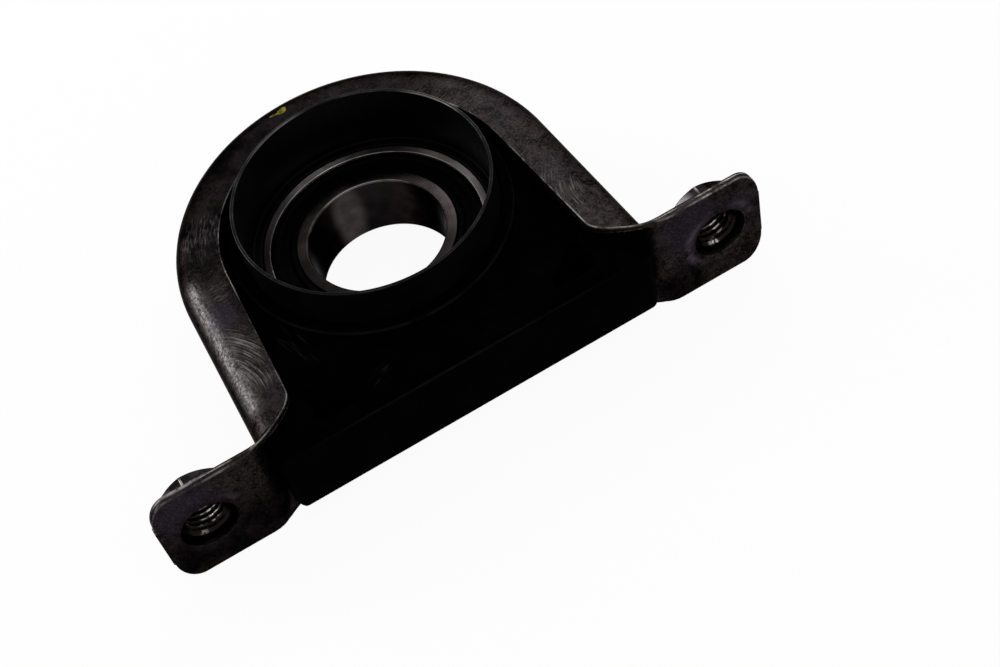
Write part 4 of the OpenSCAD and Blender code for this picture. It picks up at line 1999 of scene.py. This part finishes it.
@dataclass
class BallBearing:
    """The sealed ball bearing: two rings, two seals, and the caged balls between them."""

    bore: float = 0.0225
    inner_face: float = 0.0037
    outer_face: float = 0.0027
    land_gap: float = 0.0056
    ring_chamfer: float = 0.0006
    land_edge: float = 0.00025
    wear_width: float = 0.00045
    ball_radius: float = 0.0047625
    race_play: float = 0.00006
    seal_recess: float = 0.0007
    seal_thick: float = 0.0022
    seal_groove: float = 0.0005
    seal_side_gap: float = 0.0003
    seal_round: float = 0.00035
    seal_edge: float = 0.0002
    bead_widths: int = 5
    bead_slope: float = 1.5
    lip_gap: float = 0.0001
    outside: float = field(init=False)
    half: float = field(init=False)
    pitch: float = field(init=False)
    inner_radius: float = field(init=False)
    outer_radius: float = field(init=False)
    seal_top: float = field(init=False)
    seal_bottom: float = field(init=False)

    def __post_init__(self) -> None:
        """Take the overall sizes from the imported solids."""
        _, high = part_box("outer_ring")
        self.outside = high.x
        self.half = high.z
        self.pitch = (self.bore + self.outside) / 2
        self.inner_radius = self.bore + self.inner_face
        self.outer_radius = self.outside - self.outer_face
        self.seal_top = self.half - self.seal_recess
        self.seal_bottom = self.seal_top - self.seal_thick

    def race(self, land: float) -> list[Corner]:
        """The ball groove across a ring's land, from the rear to the front.

        Args:
            land: Radius of the land.

        Returns:
            The groove's points as unrounded corners.
        """
        radius = self.ball_radius + self.race_play
        start = math.asin(math.sqrt(radius**2 - (self.pitch - land) ** 2) / radius)
        sign = 1 if land > self.pitch else -1
        steps = 16
        return [
            (
                self.pitch + sign * radius * math.cos(start * (2 * k / steps - 1)),
                radius * math.sin(start * (2 * k / steps - 1)),
                0.0,
            )
            for k in range(steps + 1)
        ]

    def outer_ring(self) -> None:
        """Model the outer ring and dress it."""
        land = self.pitch + self.land_gap / 2
        soft = self.ring_chamfer
        edge = self.land_edge
        corners = [
            (self.outer_radius, -self.half, edge),
            (self.outside, -self.half, soft),
            (self.outside, self.half, soft),
            (self.outer_radius, self.half, edge),
            (self.outer_radius, self.seal_bottom, 0.0),
            (land, self.seal_bottom, 0.0),
            *reversed(self.race(land)),
            (land, -self.seal_bottom, 0.0),
            (self.outer_radius, -self.seal_bottom, 0.0),
        ]
        piece = turned("outer_ring", rounded(corners, steps=4), RING_STEPS)
        soften(piece)
        wear_and_highlight = tuple(
            Patch((self.outer_radius, face.value * self.half, 0.0), self.wear_width) for face in Face
        )
        finish = GroundSteel(
            name="outer_ring_steel",
            wear_and_highlight=wear_and_highlight,
            film=(0.105, 0.094, 0.093),
            clean=(0.19, 0.172, 0.170),
            oil_and_shade=(0.014, 0.0125, 0.0125),
            highlight_colour=(0.62, 0.57, 0.56),
            rough=0.46,
            brushing=0.0,
            # Painted shade: the face is darker at the left, the lower left and the top
            oiled_and_shaded=(
                Patch((-0.0340, 0.0020, self.half), 0.032),
                Patch((-0.0250, -0.0260, self.half), 0.022),
                Patch((0.0185, 0.0309, self.half), 0.011, strength=0.65),
            ),
            # Painted reflections on the face, at the top and the right
            painted_highlights=(
                Patch((-0.0060, 0.0360, self.half), 0.016),
                Patch((0.0340, 0.0100, self.half), 0.018, strength=0.70),
            ),
        )
        seat(piece, "outer_ring", "housing", Slot.RING, finish.material())

    def inner_ring(self) -> None:
        """Model the inner ring and dress it."""
        land = self.pitch - self.land_gap / 2
        step = self.seal_bottom - self.seal_side_gap
        soft = self.ring_chamfer
        edge = self.land_edge
        corners = [
            (self.bore, -self.half, soft),
            (self.inner_radius, -self.half, edge),
            (self.inner_radius, -step, 0.0),
            (land, -step, 0.0),
            *self.race(land),
            (land, step, 0.0),
            (self.inner_radius, step, 0.0),
            (self.inner_radius, self.half, edge),
            (self.bore, self.half, soft),
        ]
        piece = turned("inner_ring", rounded(corners, steps=4), RING_STEPS)
        soften(piece)
        shown = self.half - soft / 2
        wear_and_highlight = tuple(Patch((self.bore, face.value * shown, 0.0), self.wear_width) for face in Face)
        finish = GroundSteel(
            name="inner_ring_steel",
            wear_and_highlight=wear_and_highlight,
            film=(0.0052, 0.0044, 0.0045),
            clean=(0.0110, 0.0093, 0.0095),
            oil_and_shade=(0.0040, 0.0037, 0.0037),
            highlight_colour=(0.050, 0.041, 0.0415),
            rough=0.27,
            brushing=0.7,
            oiled_and_shaded=(Patch((-self.bore, 0.0, 0.0), 0.012, strength=0.5),),
            # Painted highlights on the bore and on the front face
            painted_highlights=(
                Patch((-0.0020, self.bore, 0.0), 0.0090, (0.8, 1.0, 2.2)),
                Patch((self.bore + 0.0020, 0.0020, self.half), 0.020, (1.0, 1.0, 0.08), strength=0.80),
                Patch((-0.0180, 0.0180, self.half), 0.024, (1.0, 1.0, 0.07), strength=0.32),
                Patch((0.0180, 0.0135, 0.0), 0.011, (1.0, 1.0, 1.6), strength=0.18),
            ),
            grazing=(0.34, 0.34, 0.34),
        )
        seat(piece, "inner_ring", "inner_race", Slot.RING, finish.material())

    def seal(self, face: Face, finish: SealRubber) -> None:
        """Model one seal and dress it.

        Args:
            face: Which face of the bearing it closes.
            finish: Its surface finish.
        """
        lip = self.inner_radius + self.lip_gap
        edge = self.outer_radius - PRESS_GAP
        bead = (edge - lip) / self.bead_widths
        slope = self.bead_slope * bead
        floor = self.seal_top - self.seal_groove
        soft = self.seal_round
        corners = [
            (lip, self.seal_bottom, self.seal_edge),
            (edge, self.seal_bottom, self.seal_edge),
            (edge, self.seal_top, soft),
            (edge - bead, self.seal_top, soft),
            (edge - slope, floor, soft),
            (lip + slope, floor, soft),
            (lip + bead, self.seal_top, soft),
            (lip, self.seal_top, soft),
        ]
        profile = [(radius, face.value * level) for radius, level in rounded(corners, steps=4)]
        piece = turned("seal", profile)
        soften(piece)
        seat(piece, face.name.lower() + "_seal", "housing", Slot.SEAL, finish.material())

    @staticmethod
    def dress(start: str, finish: InnerSteel) -> None:
        """Give solids that stay as they are their finish.

        Args:
            start: What the names of the solids start with.
            finish: Their surface finish.
        """
        material = finish.material()
        for name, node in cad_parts.items():
            if name.startswith(start):
                node.data.materials.clear()
                node.data.materials.append(material)
                LOG.info("%s: finish %s", name, finish.name)

    def build(self) -> None:
        """Model the bearing's rings and seals, and dress all its pieces."""
        self.outer_ring()
        self.inner_ring()
        for face in Face:
            self.seal(face, SealRubber())
        balls = InnerSteel(
            name="ball_steel", base=(0.70, 0.70, 0.72), stained=(0.55, 0.52, 0.48), rough=0.08
        )
        cage = InnerSteel(
            name="cage_steel", base=(0.42, 0.40, 0.36), stained=(0.30, 0.26, 0.20), rough=0.24
        )
        self.dress("ball_", balls)
        self.dress("cage_", cage)


# Studio


@dataclass(frozen=True)
class Softbox:
    """A square lamp that looks at the part."""

    name: str
    place: Place
    size: float
    power: float


@dataclass
class Studio:
    """A plain white floor, soft light and the camera."""

    camera_place: Place = (-0.0795, -0.3663, 0.4310)
    camera_right: Place = (0.8561, -0.4879, -0.1703)
    camera_up: Place = (0.4866, 0.6499, 0.5840)
    camera_lens: float = 63.37
    sensor: float = 36.0
    clip_near: float = 0.01
    clip_far: float = 50.0
    floor_size: float = 8.0
    floor_gap: float = 0.0001
    floor_shade: float = 0.06
    floor_colour: Colour = (0.95, 0.95, 0.95)
    world_light: float = 0.55
    target: Place = (0.0, 0.0, 0.005)
    lamps: tuple[Softbox, ...] = (
        Softbox("left_softbox", (-0.72, 0.62, 0.32), 0.45, 4.8),
        Softbox("back_softbox", (0.46, 0.72, 0.92), 0.55, 2.7),
        Softbox("right_panel", (0.90, 0.50, 0.30), 0.50, 2.0),
        Softbox("front_fill", (0.30, -0.80, 0.70), 0.80, 1.2),
    )

    def camera(self) -> None:
        """Make the camera at the photograph's viewing angle."""
        right = Vector(self.camera_right).normalized()
        up = Vector(self.camera_up)
        up = (up - up.dot(right) * right).normalized()
        back = right.cross(up)
        data = bpy.data.cameras.new("camera")
        data.lens = self.camera_lens
        data.sensor_width = self.sensor
        data.sensor_fit = "HORIZONTAL"
        data.clip_start = self.clip_near
        data.clip_end = self.clip_far
        camera = bpy.data.objects.new("camera", data)
        turn = Matrix((right, up, back)).transposed().to_4x4()
        camera.matrix_world = Matrix.Translation(self.camera_place) @ turn
        bpy.context.scene.collection.objects.link(camera)
        bpy.context.scene.camera = camera

    @staticmethod
    def seen_by_rays(tree: bpy.types.NodeTree) -> bpy.types.NodeSocket:
        """A switch that is 1 for rays that show the background, and 0 for rays that light.

        Args:
            tree: The node tree that gets the switch.

        Returns:
            The switch's socket.
        """
        path = tree.nodes.new("ShaderNodeLightPath")
        seen = path.outputs["Is Camera Ray"]
        for name in ("Is Glossy Ray", "Is Transmission Ray"):
            either = tree.nodes.new("ShaderNodeMath")
            either.operation = "MAXIMUM"
            tree.links.new(seen, either.inputs[0])
            tree.links.new(path.outputs[name], either.inputs[1])
            seen = either.outputs[0]
        return seen

    def join(
        self,
        tree: bpy.types.NodeTree,
        lit: bpy.types.Node,
        shown: bpy.types.Node,
        output: bpy.types.Node,
    ) -> None:
        """Use one shader for the rays that light, and another for those that show it.

        Args:
            tree: The node tree of all of them.
            lit: The shader for rays that light.
            shown: The shader for rays that show the background.
            output: The tree's output node.
        """
        switch = tree.nodes.new("ShaderNodeMixShader")
        tree.links.new(self.seen_by_rays(tree), switch.inputs[0])
        tree.links.new(lit.outputs[0], switch.inputs[1])
        tree.links.new(shown.outputs[0], switch.inputs[2])
        tree.links.new(switch.outputs[0], output.inputs["Surface"])

    def floor(self) -> None:
        """Lay the white floor under the part; it keeps a faint shadow."""
        clear_selection()
        bpy.ops.mesh.primitive_grid_add(
            x_subdivisions=8,
            y_subdivisions=8,
            size=self.floor_size,
            location=(0, 0, CAD_BOX[0].z - self.floor_gap),
        )
        floor = bpy.context.object
        floor.name = "studio_floor"
        material = bpy.data.materials.new("studio_floor")
        material.use_nodes = True
        tree = material.node_tree
        tree.nodes.clear()
        output = tree.nodes.new("ShaderNodeOutputMaterial")
        matt = tree.nodes.new("ShaderNodeBsdfDiffuse")
        matt.inputs["Color"].default_value = (*self.floor_colour, 1.0)
        white = tree.nodes.new("ShaderNodeEmission")
        white.inputs["Strength"].default_value = 1.0
        shown = tree.nodes.new("ShaderNodeMixShader")
        shown.inputs[0].default_value = 1 - self.floor_shade
        tree.links.new(matt.outputs[0], shown.inputs[1])
        tree.links.new(white.outputs[0], shown.inputs[2])
        self.join(tree, matt, shown, output)
        floor.data.materials.append(material)

    def world(self) -> None:
        """Make the world: white where it shows, and a plain level of light elsewhere."""
        world = bpy.data.worlds.new("studio")
        world.use_nodes = True
        tree = world.node_tree
        tree.nodes.clear()
        output = tree.nodes.new("ShaderNodeOutputWorld")
        light = tree.nodes.new("ShaderNodeBackground")
        light.inputs["Strength"].default_value = self.world_light
        white = tree.nodes.new("ShaderNodeBackground")
        for background in (light, white):
            background.inputs["Color"].default_value = (1, 1, 1, 1)
        self.join(tree, light, white, output)
        bpy.context.scene.world = world

    def light(self) -> None:
        """Hang the softboxes."""
        for lamp in self.lamps:
            data = bpy.data.lights.new(lamp.name, "AREA")
            data.shape = "SQUARE"
            data.size = lamp.size
            data.energy = lamp.power
            made = bpy.data.objects.new(lamp.name, data)
            aim = Vector(self.target) - Vector(lamp.place)
            turn = aim.to_track_quat("-Z", "Y").to_matrix().to_4x4()
            made.matrix_world = Matrix.Translation(lamp.place) @ turn
            bpy.context.scene.collection.objects.link(made)

    def build(self) -> None:
        """Set up the camera, floor, world and lamps."""
        bpy.context.scene.view_settings.view_transform = "Standard"
        self.camera()
        self.floor()
        self.world()
        self.light()


def main() -> None:
    """Build the studio and every sub-assembly in order."""
    logging.basicConfig(level=logging.INFO, format="%(name)s: %(message)s")
    Studio().build()
    Bracket().build(StampedSteel())
    for side in Side:
        WeldNut(side).build()
    Cushion().build(MouldedRubber())
    Retainer().build()
    BallBearing().build()


if __name__ == "__main__":
    main()
